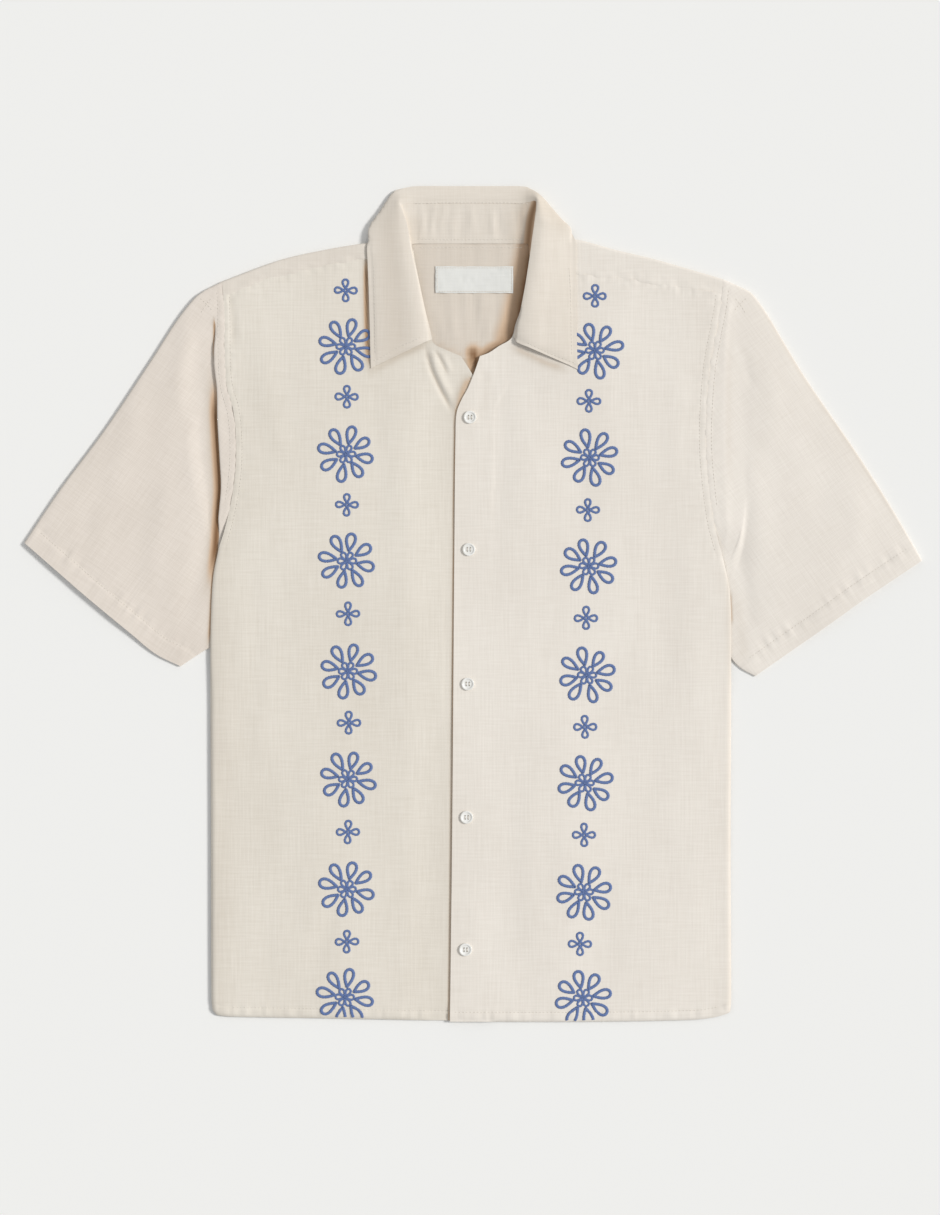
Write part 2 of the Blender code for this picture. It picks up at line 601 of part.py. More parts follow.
def build_button(number, centre):
    """A turned disc with a raised rim and four sewing holes."""
    radius, half = BUTTON_DIAMETER / 2, BUTTON_THICKNESS / 2
    profile = [(0, -half), (radius - 1.0, -half), (radius, -0.2), (radius, 0.4), (radius - 0.4, half),
               (radius - BUTTON_RIM, half - 0.1), (radius - BUTTON_RIM - 0.7, half - 0.8), (0, half - 0.8)]
    vertices, faces = [], []
    for r, z in profile[1:-1]:
        for i in range(BUTTON_SIDES):
            angle = 2 * math.pi * i / BUTTON_SIDES
            vertices.append((r * math.cos(angle) * MM, r * math.sin(angle) * MM, z * MM))
    rings = len(profile) - 2
    for ring in range(rings - 1):
        for i in range(BUTTON_SIDES):
            n = (i + 1) % BUTTON_SIDES
            a, b = ring * BUTTON_SIDES, (ring + 1) * BUTTON_SIDES
            faces.append((a + i, a + n, b + n, b + i))
    faces.append(tuple(reversed(range(BUTTON_SIDES))))
    faces.append(tuple(range((rings - 1) * BUTTON_SIDES, rings * BUTTON_SIDES)))
    mesh = bpy.data.meshes.new(f"button_{number}")
    mesh.from_pydata(vertices, [], faces)
    mesh.materials.append(material("button_resin"))
    mesh.shade_smooth()
    mesh.set_sharp_from_angle(angle=math.radians(40))
    button = bpy.data.objects.new(f"button_{number}", mesh)
    bpy.context.collection.objects.link(button)
    seat_z = with_soft_folds(centre.x, centre.y, BODY_Z) + CLOTH / 2 + 1.4 * SEAM_GAP
    button.location = Vector((centre.x, centre.y, seat_z + half)) * MM
    for h in range(4):
        angle = math.pi / 4 + h * math.pi / 2
        offset = BUTTON_HOLE_PITCH / math.sqrt(2)
        bpy.ops.mesh.primitive_cylinder_add(
            vertices=6, radius=BUTTON_HOLE_DIAMETER / 2 * MM, depth=4 * BUTTON_THICKNESS * MM,
            location=button.location + Vector((offset * math.cos(angle), offset * math.sin(angle), 0)) * MM)
        cutter = bpy.context.object
        cutter.name = f"hole_cutter_{number}_{h + 1}"
        cutter.hide_render = True
        cutter.display_type = 'WIRE'
        hole = button.modifiers.new(f"Sewing hole {h + 1}", 'BOOLEAN')
        hole.operation = 'DIFFERENCE'
        hole.object = cutter
    return button


def build_shirt():
    clear_objects()
    build_back()
    build_yoke()
    build_front("front_left", LEFT_FRONT_EDGE, LEFT_NECKLINE, left_seam, left_armhole,
                LEFT_SIDE, LEFT_HEM, left_front_height)
    build_front("front_right", RIGHT_FRONT_EDGE, RIGHT_NECKLINE, right_seam, right_armhole,
                RIGHT_SIDE, RIGHT_HEM, right_front_height)
    build_sleeve("sleeve_left", left_armhole, LEFT_TUCK_EDGE, TUCKED_HEAD, LEFT_OVER_ARM,
                 LEFT_UNDER_ARM, LEFT_CUFF, tucked=True)
    build_sleeve("sleeve_right", right_armhole, RIGHT_RIDGE, RIDGED_HEAD, RIGHT_OVER_ARM,
                 RIGHT_UNDER_ARM, RIGHT_CUFF, tucked=False)
    build_collar()
    build_stand()
    build_label()
    for number, centre in enumerate(BUTTONS, start=1):
        build_button(number, centre)


build_shirt()
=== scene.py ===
# Short-sleeve shirt laid flat: cloth, stitching, embroidery, buttons, studio and camera.
# Left and right are the viewer's. Tables are in millimetres, and mm turns them into Blender's metres.

import math
import random

import bpy
import numpy as np
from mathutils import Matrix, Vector
from mathutils.bvhtree import BVHTree


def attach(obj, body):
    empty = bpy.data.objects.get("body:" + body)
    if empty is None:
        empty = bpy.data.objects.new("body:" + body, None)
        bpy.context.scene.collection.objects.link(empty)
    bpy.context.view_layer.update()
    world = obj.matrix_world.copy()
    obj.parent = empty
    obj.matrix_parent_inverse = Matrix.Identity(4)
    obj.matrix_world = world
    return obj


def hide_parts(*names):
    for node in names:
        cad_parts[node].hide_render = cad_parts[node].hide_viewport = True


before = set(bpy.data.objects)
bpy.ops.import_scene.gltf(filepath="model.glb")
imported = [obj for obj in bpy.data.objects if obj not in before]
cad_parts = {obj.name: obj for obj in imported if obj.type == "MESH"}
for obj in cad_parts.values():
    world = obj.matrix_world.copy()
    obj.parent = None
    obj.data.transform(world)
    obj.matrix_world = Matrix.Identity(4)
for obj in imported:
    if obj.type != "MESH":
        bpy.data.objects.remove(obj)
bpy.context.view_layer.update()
bpy.ops.object.select_all(action='DESELECT')
mm = 0.001
photo = {"high": 1215, "mmPerPixel": 0.9, "middle": (473.3, 603.9)}  # middle: the pixel where x and y are 0
inward = {"left": 1, "right": -1}  # the way from a side to the middle

cloth = {
    "wall": 0.6,
    "under": 0.5,  # middle of the cloth that lies on the surface
    "body": 4.4,  # middle of the fronts
    "side": 1.8,
    "overhang": 3.3,
    "underlap": 2.8,
    "lapLow": 3.1,  # at the button line the left front stays below this
    "lapHigh": 4.1,  # and the right front above this
    "frontLow": 1.45,
    "floorLow": 0.42,
    "layer": 1.3,
    "sideRoll": 4.5,
    "hemRoll": 5.5,
    "backInset": 6.0,
    "lap": 1.6,  # how far a seam's lower piece runs in under the upper one
    "lapDrop": 0.65,
}
# from a seam or edge to its row of stitches
seamRows = {"armhole": 5.4, "shoulder": 3.2, "neck": 3.2, "hem": 8.5, "cuff": 16.5}
# rise, pucker, spread, every
puckers = {
    "neck": (0.35, 0.15, 3.0, 5.0),
    "armhole": (0.1, 0.24, 7.0, 4.5),
    "shoulder": (0.12, 0.36, 7.0, 5.0),
}


# curves, and grids laid between them

def mix(a, b, amount):
    return a + (b - a) * amount


def ease(value, start, end):
    u = np.clip((value - start) / (end - start), 0.0, 1.0)
    return u * u * (3 - 2 * u)


def quarterRound(distance, width):
    u = np.clip(distance / width, 0.0, 1.0)
    return np.sqrt(1 - (1 - u) ** 2)


class Line:  # a smooth curve through points, read by the fraction of its length

    def __init__(self, points):
        self.knots = np.array(points, float)
        steps = np.linalg.norm(np.diff(self.knots, axis=0), axis=1)
        self.reach = np.concatenate([[0.0], np.cumsum(steps)])
        last = len(self.knots) - 1
        before = np.maximum(np.arange(last + 1) - 1, 0)
        after = np.minimum(np.arange(last + 1) + 1, last)
        spans = (self.reach[after] - self.reach[before])[:, None]
        self.slopes = (self.knots[after] - self.knots[before]) / spans

    def at(self, fraction):
        where = np.clip(np.asarray(fraction, float), 0.0, 1.0) * self.reach[-1]
        i = np.clip(np.searchsorted(self.reach, where) - 1, 0, len(self.knots) - 2)
        span = (self.reach[i + 1] - self.reach[i])[..., None]
        u = (where - self.reach[i])[..., None] / span
        start = self.knots[i] * (1 + 2 * u) * (1 - u) ** 2 + self.slopes[i] * span * u * (1 - u) ** 2
        return start + self.knots[i + 1] * u * u * (3 - 2 * u) + self.slopes[i + 1] * span * u * u * (u - 1)

    def xAt(self, y):
        spots = self.at(np.linspace(0, 1, 400))
        order = np.argsort(spots[:, 1])
        return np.interp(y, spots[order, 1], spots[order, 0])

    def yAt(self, x):
        spots = self.at(np.linspace(0, 1, 400))
        order = np.argsort(spots[:, 0])
        return np.interp(x, spots[order, 0], spots[order, 1])


def chained(first, second, corner):
    def at(fraction):
        fraction = np.asarray(fraction, float)
        early = first(np.clip(fraction / corner, 0, 1))
        late = second(np.clip((fraction - corner) / (1 - corner), 0, 1))
        return np.where((fraction < corner)[..., None], early, late)
    return at


def panelPlan(start, end, first, last, along, across, fade=3):
    a, c = along[:, None, None], across[None, :, None]
    ruled = mix(first(along)[:, None, :], last(along)[:, None, :], c)
    startEdge, endEdge = start(across)[None], end(across)[None]
    bowStart = startEdge - mix(startEdge[:, :1], startEdge[:, -1:], c)
    bowEnd = endEdge - mix(endEdge[:, :1], endEdge[:, -1:], c)
    return ruled + bowStart * (1 - a) ** fade + bowEnd * a ** fade


def between(rows, perSpan):  # rows of numbers with others between them, on a smooth curve
    rows = np.array(rows, float)
    filled = []
    for i in range(len(rows) - 1):
        a, b = rows[i], rows[i + 1]
        slopeA = (b - rows[max(i - 1, 0)]) / 2
        slopeB = (rows[min(i + 2, len(rows) - 1)] - a) / 2
        for step in range(perSpan):
            u = step / perSpan
            filled.append(a * (1 + 2 * u) * (1 - u) ** 2 + slopeA * u * (1 - u) ** 2
                          + b * u * u * (3 - 2 * u) + slopeB * u * u * (u - 1))
    filled.append(rows[-1])
    return np.array(filled)


# soft relief: creases, seams and puckers

def softNoise(u, v, seed):  # smooth noise from -1 to 1 on a lattice one unit wide
    lattice = np.random.default_rng(seed).uniform(-1, 1, (64, 64))
    iu, iv = np.floor(u).astype(int), np.floor(v).astype(int)
    fu, fv = u - iu, v - iv
    fu, fv = fu * fu * (3 - 2 * fu), fv * fv * (3 - 2 * fv)
    a, b = lattice[iu % 64, iv % 64], lattice[(iu + 1) % 64, iv % 64]
    c, d = lattice[iu % 64, (iv + 1) % 64], lattice[(iu + 1) % 64, (iv + 1) % 64]
    return mix(mix(a, b, fu), mix(c, d, fu), fv)


def nearLine(x, y, path):  # distance to a path, positive on its left; the length along it; its whole length
    path = np.array(path, float)
    best = np.full(np.shape(x), 1e9)
    side, length = np.zeros(np.shape(x)), np.zeros(np.shape(x))
    walked = 0.0
    for a, b in zip(path[:-1], path[1:]):
        step = b - a
        span = np.hypot(*step)
        u = np.clip(((x - a[0]) * step[0] + (y - a[1]) * step[1]) / span ** 2, 0, 1)
        dx, dy = x - a[0] - u * step[0], y - a[1] - u * step[1]
        distance = np.hypot(dx, dy)
        nearer = distance < best
        best = np.where(nearer, distance, best)
        side = np.where(nearer, np.sign(step[0] * dy - step[1] * dx), side)
        length = np.where(nearer, walked + u * span, length)
        walked += span
    return best * np.where(side == 0, 1, side), length, walked


def crease(x, y, path, width, height):  # a soft ridge, or a trough where height is negative
    distance, along, whole = nearLine(x, y, Line(path).at(np.linspace(0, 1, 24)))
    taper = ease(along, 0, whole * 0.25) * ease(whole - along, 0, whole * 0.25)
    return height * np.exp(-(distance / width) ** 2) * taper


# painted shade and painted shadows laid into the cloth colour: darker in folds and the sleeve's tuck, under
# the collar's edges, where the collar and fronts cast shadow into the neck, and in bands along side edges
# that face the light
foldShadows = {
    # piece: path, width, depth of the painted shade
    "front_left": [
        ([(-94, 326), (-96, 316), (-96.5, 300), (-96.5, 280), (-96, 250), (-95, 222), (-92, 200)],
         2.8, 0.95),
        ([(-99, 206), (-79.8, 215), (-63.7, 224), (-50.9, 229.5), (-41.9, 234), (-36, 238)], 3.0, 0.34),
        ([(-43, 240), (-39, 215), (-32, 198), (-23, 181), (-16, 166)], 1.3, 0.4),
        ([(-35, 232), (-28, 217), (-22, 204)], 1.0, 0.35),
        ([(0, 210), (-7, 197), (-11, 186), (-15, 160)], 5.0, 0.62),
        ([(-222, 284), (-217, 266), (-215.7, 250), (-216, 226)], 2.6, 0.12),
        ([(-231, 190), (-232, -100), (-231, -500)], 16.0, 0.12),
    ],
    "front_right": [
        ([(90, 209), (80, 212), (66, 216.5), (53.6, 222.5), (40, 229), (28, 236)], 4.2, 0.42),
        ([(10, 218), (12, 195), (9, 165)], 5.0, 0.08),
        ([(228, 160), (232, -100), (232, -520)], 3.5, 0.25),
    ],
    "inside": [
        ([(-3, 242), (0, 226), (3, 214), (5, 204), (8, 180)], 9.5, 1.0),
        ([(-46, 244), (-34, 236), (-20, 229), (-4, 225), (14, 227), (30, 236)], 6.0, 0.42),
        ([(-2, 218), (6, 222), (14, 228), (24, 234), (38, 246)], 8.5, 0.86),
        ([(20, 205), (31, 236), (37, 252), (41, 268), (45, 285), (48, 300), (52, 325), (54, 360)],
         19.0, 0.86),
        ([(25, 205), (35, 236), (41, 252), (44, 268), (47, 285), (50, 300), (54, 325), (56, 360)],
         9.0, 1.0),
        ([(-34, 236), (-38, 250), (-42, 270), (-47, 290), (-54, 318)], 6.0, 0.2),
    ],
    "stand": [
        ([(74, 396), (58, 364), (53, 350), (51, 338), (47, 296)], 6.0, 0.92),
        ([(70, 396), (52, 364), (46, 350), (44, 338), (42, 296)], 11.0, 0.42),
        ([(-70, 326), (-48, 325.5), (0, 325.5), (56, 325.5)], 0.8, 0.12),
        ([(-56, 352), (-52, 335), (-50, 318)], 8.0, 0.14),
    ],
    "collar": [
        ([(-80, 392), (-76, 345), (-73, 300), (-70, 260), (-70, 190)], 13.0, 0.2),
        ([(46, 382), (60, 362), (74, 352), (94, 334)], 13.0, 0.3),
    ],
    "sleeve_left": [
        ([(-232.8, 262), (-233, 247), (-233.3, 232), (-233.6, 216)], 1.5, 0.9),
        ([(-232, 226), (-233, 207), (-233, 190), (-232.6, 172), (-231.4, 150), (-229.8, 120), (-229, 104),
          (-230.6, 76), (-232.4, 50), (-236, 26), (-240, -8)], 6.2, 1.0),
        ([(-234, 60), (-235, 20), (-237, -20), (-240, -50)], 2.2, 0.75),
    ],
    "sleeve_right": [
        ([(222, 296), (251, 279), (266, 258), (276, 241), (299, 203), (346, 134), (379, 82), (404, 39)],
         2.6, 0.25),
        ([(231, 250), (230, 215), (230, 148), (231, 100)], 3.0, 0.12),
        ([(231, 14), (232, -4), (233, -22)], 1.8, 0.6),
        ([(234, 12), (241, -20), (243, -44), (236, -60)], 5.0, 0.12),
    ],
}


def paintedShadeAt(piece, x, y):
    depth = np.zeros(np.shape(x))
    for path, width, strength in foldShadows[piece]:
        depth = np.maximum(depth, crease(x, y, path, width, strength))
    return depth


def sewnBand(x, y, path, rows, rise=0.3, pucker=0.3, spread=7.0, every=4.5, seed=1):
    # rows are the offsets of the stitch rows from the path: the cloth sinks there and puckers around them
    distance, along, whole = nearLine(x, y, path)
    low, high = min(rows), max(rows)
    middle, half = (low + high) / 2, (high - low) / 2
    bump = rise * (1 - ease(np.abs(distance - middle), half, half + 2.0))
    for row in rows:  # the thread pulls the cloth down
        bump = bump - (0.6 * rise + 0.1) * np.exp(-((distance - row) / 1.2) ** 2)
    gathers = softNoise(along / every + distance * 0.08, distance / 7.0 + 7, seed)
    gathers = gathers + 0.7 * softNoise(along / (every * 0.5) - distance * 0.06, distance / 4.5, seed + 1)
    near = np.exp(-((np.abs(distance - middle) - half).clip(0) / spread) ** 2)
    inReach = (along > 0.01) & (along < whole - 0.01)
    return (bump + pucker * gathers * near) * np.where(inReach, 1.0, 0.0)


def softWaves(x, y, seed, high=0.45):  # the slow unevenness of cloth that lies by its own weight
    upright = softNoise(x / 42 + 0.15 * softNoise(x / 90, y / 120, seed), y / 260, seed + 1)
    slanted = softNoise((x + 0.5 * y) / 70, (y - 0.3 * x) / 110, seed + 2)
    small = softNoise(x / 17, y / 60, seed + 3)
    return high * (0.7 * upright + 0.45 * slanted + 0.18 * small)


# finishes

def linkTo(tree, source, target):
    tree.links.new(source, target)
    return target


def mathNode(tree, how, first, second=None):
    node = tree.nodes.new("ShaderNodeMath")
    node.operation = how
    for socket, value in zip(node.inputs, (first, second)):
        if isinstance(value, bpy.types.NodeSocket):
            tree.links.new(value, socket)
        elif value is not None:
            socket.default_value = value
    return node.outputs[0]


def noiseNode(tree, where, scale, stretch, detail=2.0):
    mapping = tree.nodes.new("ShaderNodeMapping")
    mapping.inputs["Scale"].default_value = stretch
    tree.links.new(where, mapping.inputs["Vector"])
    noise = tree.nodes.new("ShaderNodeTexNoise")
    noise.inputs["Scale"].default_value = scale
    noise.inputs["Detail"].default_value = detail
    tree.links.new(mapping.outputs[0], noise.inputs["Vector"])
    return noise.outputs["Fac"]


def newMaterial(name):
    material = bpy.data.materials.new(name)
    material.use_nodes = True
    return material, material.node_tree, material.node_tree.nodes["Principled BSDF"]


def grainPlace(tree):
    uv = tree.nodes.new("ShaderNodeUVMap")
    uv.uv_map = "grain"
    return uv.outputs["UV"]


def rampNode(tree, amount, *stops):  # each stop is a place on the ramp and a colour
    ramp = tree.nodes.new("ShaderNodeValToRGB")
    for _ in range(len(stops) - 2):
        ramp.color_ramp.elements.new(0.5)
    for element, (place, color) in zip(ramp.color_ramp.elements, stops):
        element.position, element.color = place, (*color, 1)
    linkTo(tree, amount, ramp.inputs["Fac"])
    return ramp.outputs["Color"]


def raiseFrom(tree, shader, height, depth):
    raised = tree.nodes.new("ShaderNodeBump")
    raised.inputs["Distance"].default_value = depth * mm
    linkTo(tree, height, raised.inputs["Height"])
    linkTo(tree, raised.outputs["Normal"], shader.inputs["Normal"])


def makeSlubWeave():  # plain weave with uneven yarns: a mask of thick yarns, a height and a slow cloud
    group = bpy.data.node_groups.new("slubWeave", "ShaderNodeTree")
    group.interface.new_socket("Place", in_out='INPUT', socket_type='NodeSocketVector')
    group.interface.new_socket("Slubs", in_out='OUTPUT', socket_type='NodeSocketFloat')
    group.interface.new_socket("Height", in_out='OUTPUT', socket_type='NodeSocketFloat')
    group.interface.new_socket("Cloud", in_out='OUTPUT', socket_type='NodeSocketFloat')
    entry, leave = group.nodes.new("NodeGroupInput"), group.nodes.new("NodeGroupOutput")
    place = entry.outputs["Place"]
    across = noiseNode(group, place, 1.0, (38.0, 620.0, 1.0))
    upright = noiseNode(group, place, 1.0, (620.0, 30.0, 1.0))
    slubs = mathNode(group, 'MULTIPLY', mathNode(group, 'ADD', across, upright), 0.5)
    yarns = []
    for direction in ('X', 'Y'):
        wave = group.nodes.new("ShaderNodeTexWave")
        wave.bands_direction = direction
        wave.inputs["Scale"].default_value = 260.0
        wave.inputs["Distortion"].default_value = 0.8
        wave.inputs["Detail"].default_value = 1.0
        group.links.new(place, wave.inputs["Vector"])
        yarns.append(wave.outputs["Fac"])
    weave = mathNode(group, 'MULTIPLY', mathNode(group, 'MULTIPLY', yarns[0], yarns[1]), 0.35)
    linkTo(group, slubs, leave.inputs["Slubs"])
    linkTo(group, mathNode(group, 'ADD', weave, slubs), leave.inputs["Height"])
    linkTo(group, noiseNode(group, place, 13.0, (1.0, 0.5, 1.0), 4.0), leave.inputs["Cloud"])
    return group


slubWeave = makeSlubWeave()
# the left and right linens are lit and shaded copies of one cloth: painted lighter on the right and darker
# on the left, as the light falls from the right; the inside linen is painted darker with the shade inside
# the shirt
finishes = {
    # slot, deep tone, pale tone, bump
    "leftLinen": ("linen_cloth", (0.742, 0.687, 0.603), (0.828, 0.776, 0.694), 0.13),
    "rightLinen": ("linen_cloth", (0.792, 0.736, 0.665), (0.872, 0.820, 0.750), 0.13),
    "leftSleeveLinen": ("linen_cloth", (0.738, 0.666, 0.592), (0.822, 0.750, 0.677), 0.13),
    "rightSleeveLinen": ("linen_cloth", (0.806, 0.748, 0.680), (0.882, 0.828, 0.760), 0.13),
    "insideLinen": ("linen_cloth", (0.690, 0.617, 0.530), (0.765, 0.695, 0.607), 0.12),
    "collarLinen": ("linen_cloth", (0.745, 0.680, 0.597), (0.815, 0.752, 0.672), 0.11),
    "labelTape": ("label_tape", (0.760, 0.763, 0.730), (0.825, 0.825, 0.797), 0.05),
}
# painted shade: the colours the mask mixes in by its depth, duller, then warmer, then dark, as light turns
# inside a fold
paintedShadeTones = [(0.3, (0.50, 0.41, 0.31)), (0.65, (0.57, 0.335, 0.155)), (1.0, (0.235, 0.122, 0.056))]


def clothFinish(name):
    deep, pale, bump = finishes[name][1:]
    material, tree, shader = newMaterial(name)
    shader.inputs["Roughness"].default_value = 0.9
    shader.inputs["Specular IOR Level"].default_value = 0.2
    shader.inputs["Sheen Weight"].default_value = 0.12
    shader.inputs["Sheen Roughness"].default_value = 0.6
    weave = tree.nodes.new("ShaderNodeGroup")
    weave.node_tree = slubWeave
    linkTo(tree, grainPlace(tree), weave.inputs["Place"])
    blend = mathNode(tree, 'MULTIPLY', weave.outputs["Slubs"], 0.6)
    blend = mathNode(tree, 'ADD', blend, mathNode(tree, 'MULTIPLY', weave.outputs["Cloud"], 0.4))
    # painted shade: the mask mixes these dark and warm tones into the linen's own colour
    paintedShade = tree.nodes.new("ShaderNodeAttribute")
    paintedShade.attribute_name = "paintedShade"
    paintedShadeMix = tree.nodes.new("ShaderNodeMix")
    paintedShadeMix.data_type = 'RGBA'
    linkTo(tree, paintedShade.outputs["Fac"], paintedShadeMix.inputs[0])
    linkTo(tree, rampNode(tree, blend, (0.36, deep), (0.62, pale)), paintedShadeMix.inputs[6])
    linkTo(tree, rampNode(tree, paintedShade.outputs["Fac"], *paintedShadeTones), paintedShadeMix.inputs[7])
    linkTo(tree, paintedShadeMix.outputs[2], shader.inputs["Base Color"])
    raiseFrom(tree, shader, weave.outputs["Height"], bump)
    return material


def threadFinish(name, deep, pale, sheen):
    material, tree, shader = newMaterial(name)
    shader.inputs["Roughness"].default_value = 0.62
    shader.inputs["Specular IOR Level"].default_value = 0.3
    shader.inputs["Sheen Weight"].default_value = sheen
    place = grainPlace(tree)
    twist = tree.nodes.new("ShaderNodeTexWave")  # plied strands, slanting across the cord
    twist.bands_direction = 'DIAGONAL'
    twist.inputs["Scale"].default_value = 420.0
    twist.inputs["Distortion"].default_value = 1.5
    linkTo(tree, place, twist.inputs["Vector"])
    fleck = noiseNode(tree, place, 900.0, (1.0, 1.0, 1.0), 1.0)
    blend = mathNode(tree, 'ADD', mathNode(tree, 'MULTIPLY', twist.outputs["Fac"], 0.5),
                     mathNode(tree, 'MULTIPLY', fleck, 0.5))
    linkTo(tree, rampNode(tree, blend, (0.3, deep), (0.75, pale)), shader.inputs["Base Color"])
    raiseFrom(tree, shader, twist.outputs["Fac"], 0.12)
    return material


linens = {name: clothFinish(name) for name in finishes}
sewingThread = threadFinish("sewingThread", (0.66, 0.60, 0.52), (0.86, 0.82, 0.75), 0.1)
blueThread = threadFinish("blueThread", (0.080, 0.135, 0.330), (0.175, 0.255, 0.490), 0.2)
print("finishes made")


# turning grids into cloth

def newPiece(name, vertices, faces, places, material):
    mesh = bpy.data.meshes.new(name)
    mesh.from_pydata(vertices, [], faces)
    layer = mesh.uv_layers.new(name="grain")
    corners = np.zeros(len(mesh.loops), int)
    mesh.loops.foreach_get("vertex_index", corners)
    layer.data.foreach_set("uv", np.array(places)[corners].ravel())
    mesh.materials.append(material)
    piece = bpy.data.objects.new(name, mesh)
    bpy.context.scene.collection.objects.link(piece)
    return piece


def clothFromGrid(name, grid, finish, replaced, closed=False, skipped=None, turn=0.0, paintedShade=None):
    # grid is rows by columns by xyz, in millimetres, along the middle of the cloth
    rows, columns = grid.shape[:2]
    r, c = np.meshgrid(np.arange(rows - 1), np.arange(columns if closed else columns - 1), indexing="ij")
    n = (c + 1) % columns
    faces = np.stack([r * columns + c, r * columns + n, (r + 1) * columns + n, (r + 1) * columns + c], -1)
    if skipped is not None:
        faces = faces[~skipped]
    faces = faces.reshape(-1, 4)
    used = np.unique(faces)
    renumbered = np.zeros(rows * columns, int)
    renumbered[used] = np.arange(len(used))
    u = grid[..., 0] * math.cos(turn) + grid[..., 1] * math.sin(turn)
    v = grid[..., 1] * math.cos(turn) - grid[..., 0] * math.sin(turn)
    place = np.stack([u, v], -1).reshape(-1, 2)[used] * mm
    piece = newPiece(name, (grid.reshape(-1, 3)[used] * mm).tolist(), renumbered[faces].tolist(), place,
                     linens[finish])
    # the painted shade mask, 0 for none and 1 for the darkest painted shade
    depths = np.zeros((rows, columns)) if paintedShade is None else np.clip(paintedShade, 0, 1)
    mask = piece.data.attributes.new("paintedShade", 'FLOAT', 'POINT')
    mask.data.foreach_set("value", depths.reshape(-1)[used])
    bpy.context.view_layer.objects.active = piece
    wall = piece.modifiers.new("Cloth wall", 'SOLIDIFY')
    wall.thickness = cloth["wall"] * mm
    wall.offset = 0.0
    wall.use_even_offset = False
    wall.use_quality_normals = True
    bpy.ops.object.modifier_apply(modifier=wall.name)
    piece.data.shade_smooth()
    piece.data.set_sharp_from_angle(angle=math.radians(55))
    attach(piece, "root")
    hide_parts(replaced)
    print(name, len(piece.data.polygons), "faces")
    return piece


def steps(*spans):  # fractions in several spans, each given as its end and its number of steps
    values = [0.0]
    for end, count in spans:
        values += list(np.linspace(values[-1], end, count + 1)[1:])
    return np.array(values)


# fronts

armholes = {
    "left": [(-226, 290), (-224.5, 270), (-223.5, 210), (-221, 192), (-216.5, 177), (-213.8, 156),
             (-213.4, 130), (-215.5, 106), (-219.5, 84), (-224, 66), (-229, 50)],
    "right": [(225, 292), (223, 270), (218, 243), (213, 215), (210, 180), (209, 148), (211, 115), (216, 76),
              (225, 40)],
}
armholeLines = {side: Line(points) for side, points in armholes.items()}


def roundStep(step):  # of fourteen steps from 0 to 1 that are short at both ends
    return 0.5 - 0.5 * math.cos(math.pi * step / 14)


seamFractions = {"frontShoulder": roundStep(2), "backYoke": roundStep(5)}  # where seams meet the armhole
sideShare = 0.62  # of a front's length, from the hem up to the armhole
shares = {"side": sideShare, "edge": sideShare + (1 - sideShare) * (1 - roundStep(6)) / (1 - roundStep(2))}

fronts = {
    "left": {
        "edge": [(4, -375), (6, -200), (7, 50), (8, 150), (9, 176), (5, 190), (0, 205), (-11, 223)],
        "neckline": [(-11, 223), (-23, 228), (-36, 235), (-40, 249), (-44, 268), (-49, 292), (-54, 318)],
        "shoulder": [(-54, 318), (-101, 311), (-151, 301), (-189, 292)],
        "side": [(-229, 50), (-234, 24), (-236, -13), (-236.5, -54), (-236, -200), (-235.6, -350),
                 (-234.6, -365), (-231, -370)],
        "hem": [(4, -375), (-25, -375), (-129, -373), (-220, -371.4), (-231, -370)],
        "creases": [
            # path, width, height
            ([(-43, 236), (-39, 215), (-32, 198), (-23, 181), (-16, 170)], 2.2, -1.5),
            ([(-38, 232), (-34, 214), (-27, 198), (-18, 182)], 3.6, 1.2),
            ([(-35, 229), (-28, 217), (-23, 208)], 1.8, -1.0),
            ([(-30, 228), (-24, 216), (-19, 206)], 3.0, 0.7),
            ([(-223, 286), (-217, 266), (-215.7, 250), (-216, 222)], 3.6, -0.5),
            ([(-90, 200), (-86, 120), (-88, 40)], 12.0, -0.35),
            ([(-66, 180), (-62, 60), (-60, -60)], 14.0, 0.3),
            ([(-190, 260), (-184, 190), (-170, 120)], 12.0, 0.4),
            ([(-205, 60), (-196, -20), (-199, -110)], 10.0, -0.35),
            ([(-150, -120), (-139, -210), (-144, -320)], 16.0, 0.4),
            ([(-120, -250), (-131, -290), (-150, -340)], 9.0, -0.4),
            ([(-50, -140), (-44, -250), (-47, -350)], 14.0, -0.35),
        ],
        "seed": 11,
    },
    "right": {
        "edge": [(-21, -376), (-19, -207), (-17, 53), (-16, 151), (-15, 172), (-11, 183), (-5, 194),
                 (0, 206), (4, 217), (6, 223)],
        "neckline": [(6, 223), (14, 226), (23, 232), (34, 239), (38, 252), (43, 266), (49, 288), (51, 303)],
        "shoulder": [(51, 303), (92, 297), (137, 293), (175, 287)],
        "side": [(225, 40), (231, 9), (232, -54), (231.5, -221), (232, -340), (231.8, -359), (231, -367.5)],
        "hem": [(-21, -376), (109, -376), (196, -374.4), (214, -372.6), (225, -370), (231, -367.5)],
        "creases": [
            ([(8, 216), (10, 190), (6, 160)], 4.0, -0.5),
            ([(24, 222), (26, 150), (22, 60)], 9.0, -0.35),
            ([(44, 214), (50, 130), (46, 40)], 14.0, 0.4),
            ([(88, 208), (92, 100), (86, 20)], 16.0, -0.35),
            ([(176, 250), (184, 180), (178, 100)], 10.0, 0.35),
            ([(196, 60), (190, -10), (196, -90)], 12.0, 0.35),
            ([(150, -60), (158, -170), (150, -300)], 18.0, -0.4),
            ([(60, -120), (52, -230), (58, -340)], 14.0, 0.35),
            ([(206, -180), (200, -260), (208, -350)], 9.0, 0.3),
        ],
        "seed": 31,
    },
}
hemRise = 0.35
lapShadow = {"depth": 0.7, "past": 0.8, "wide": 1.5, "top": 204}
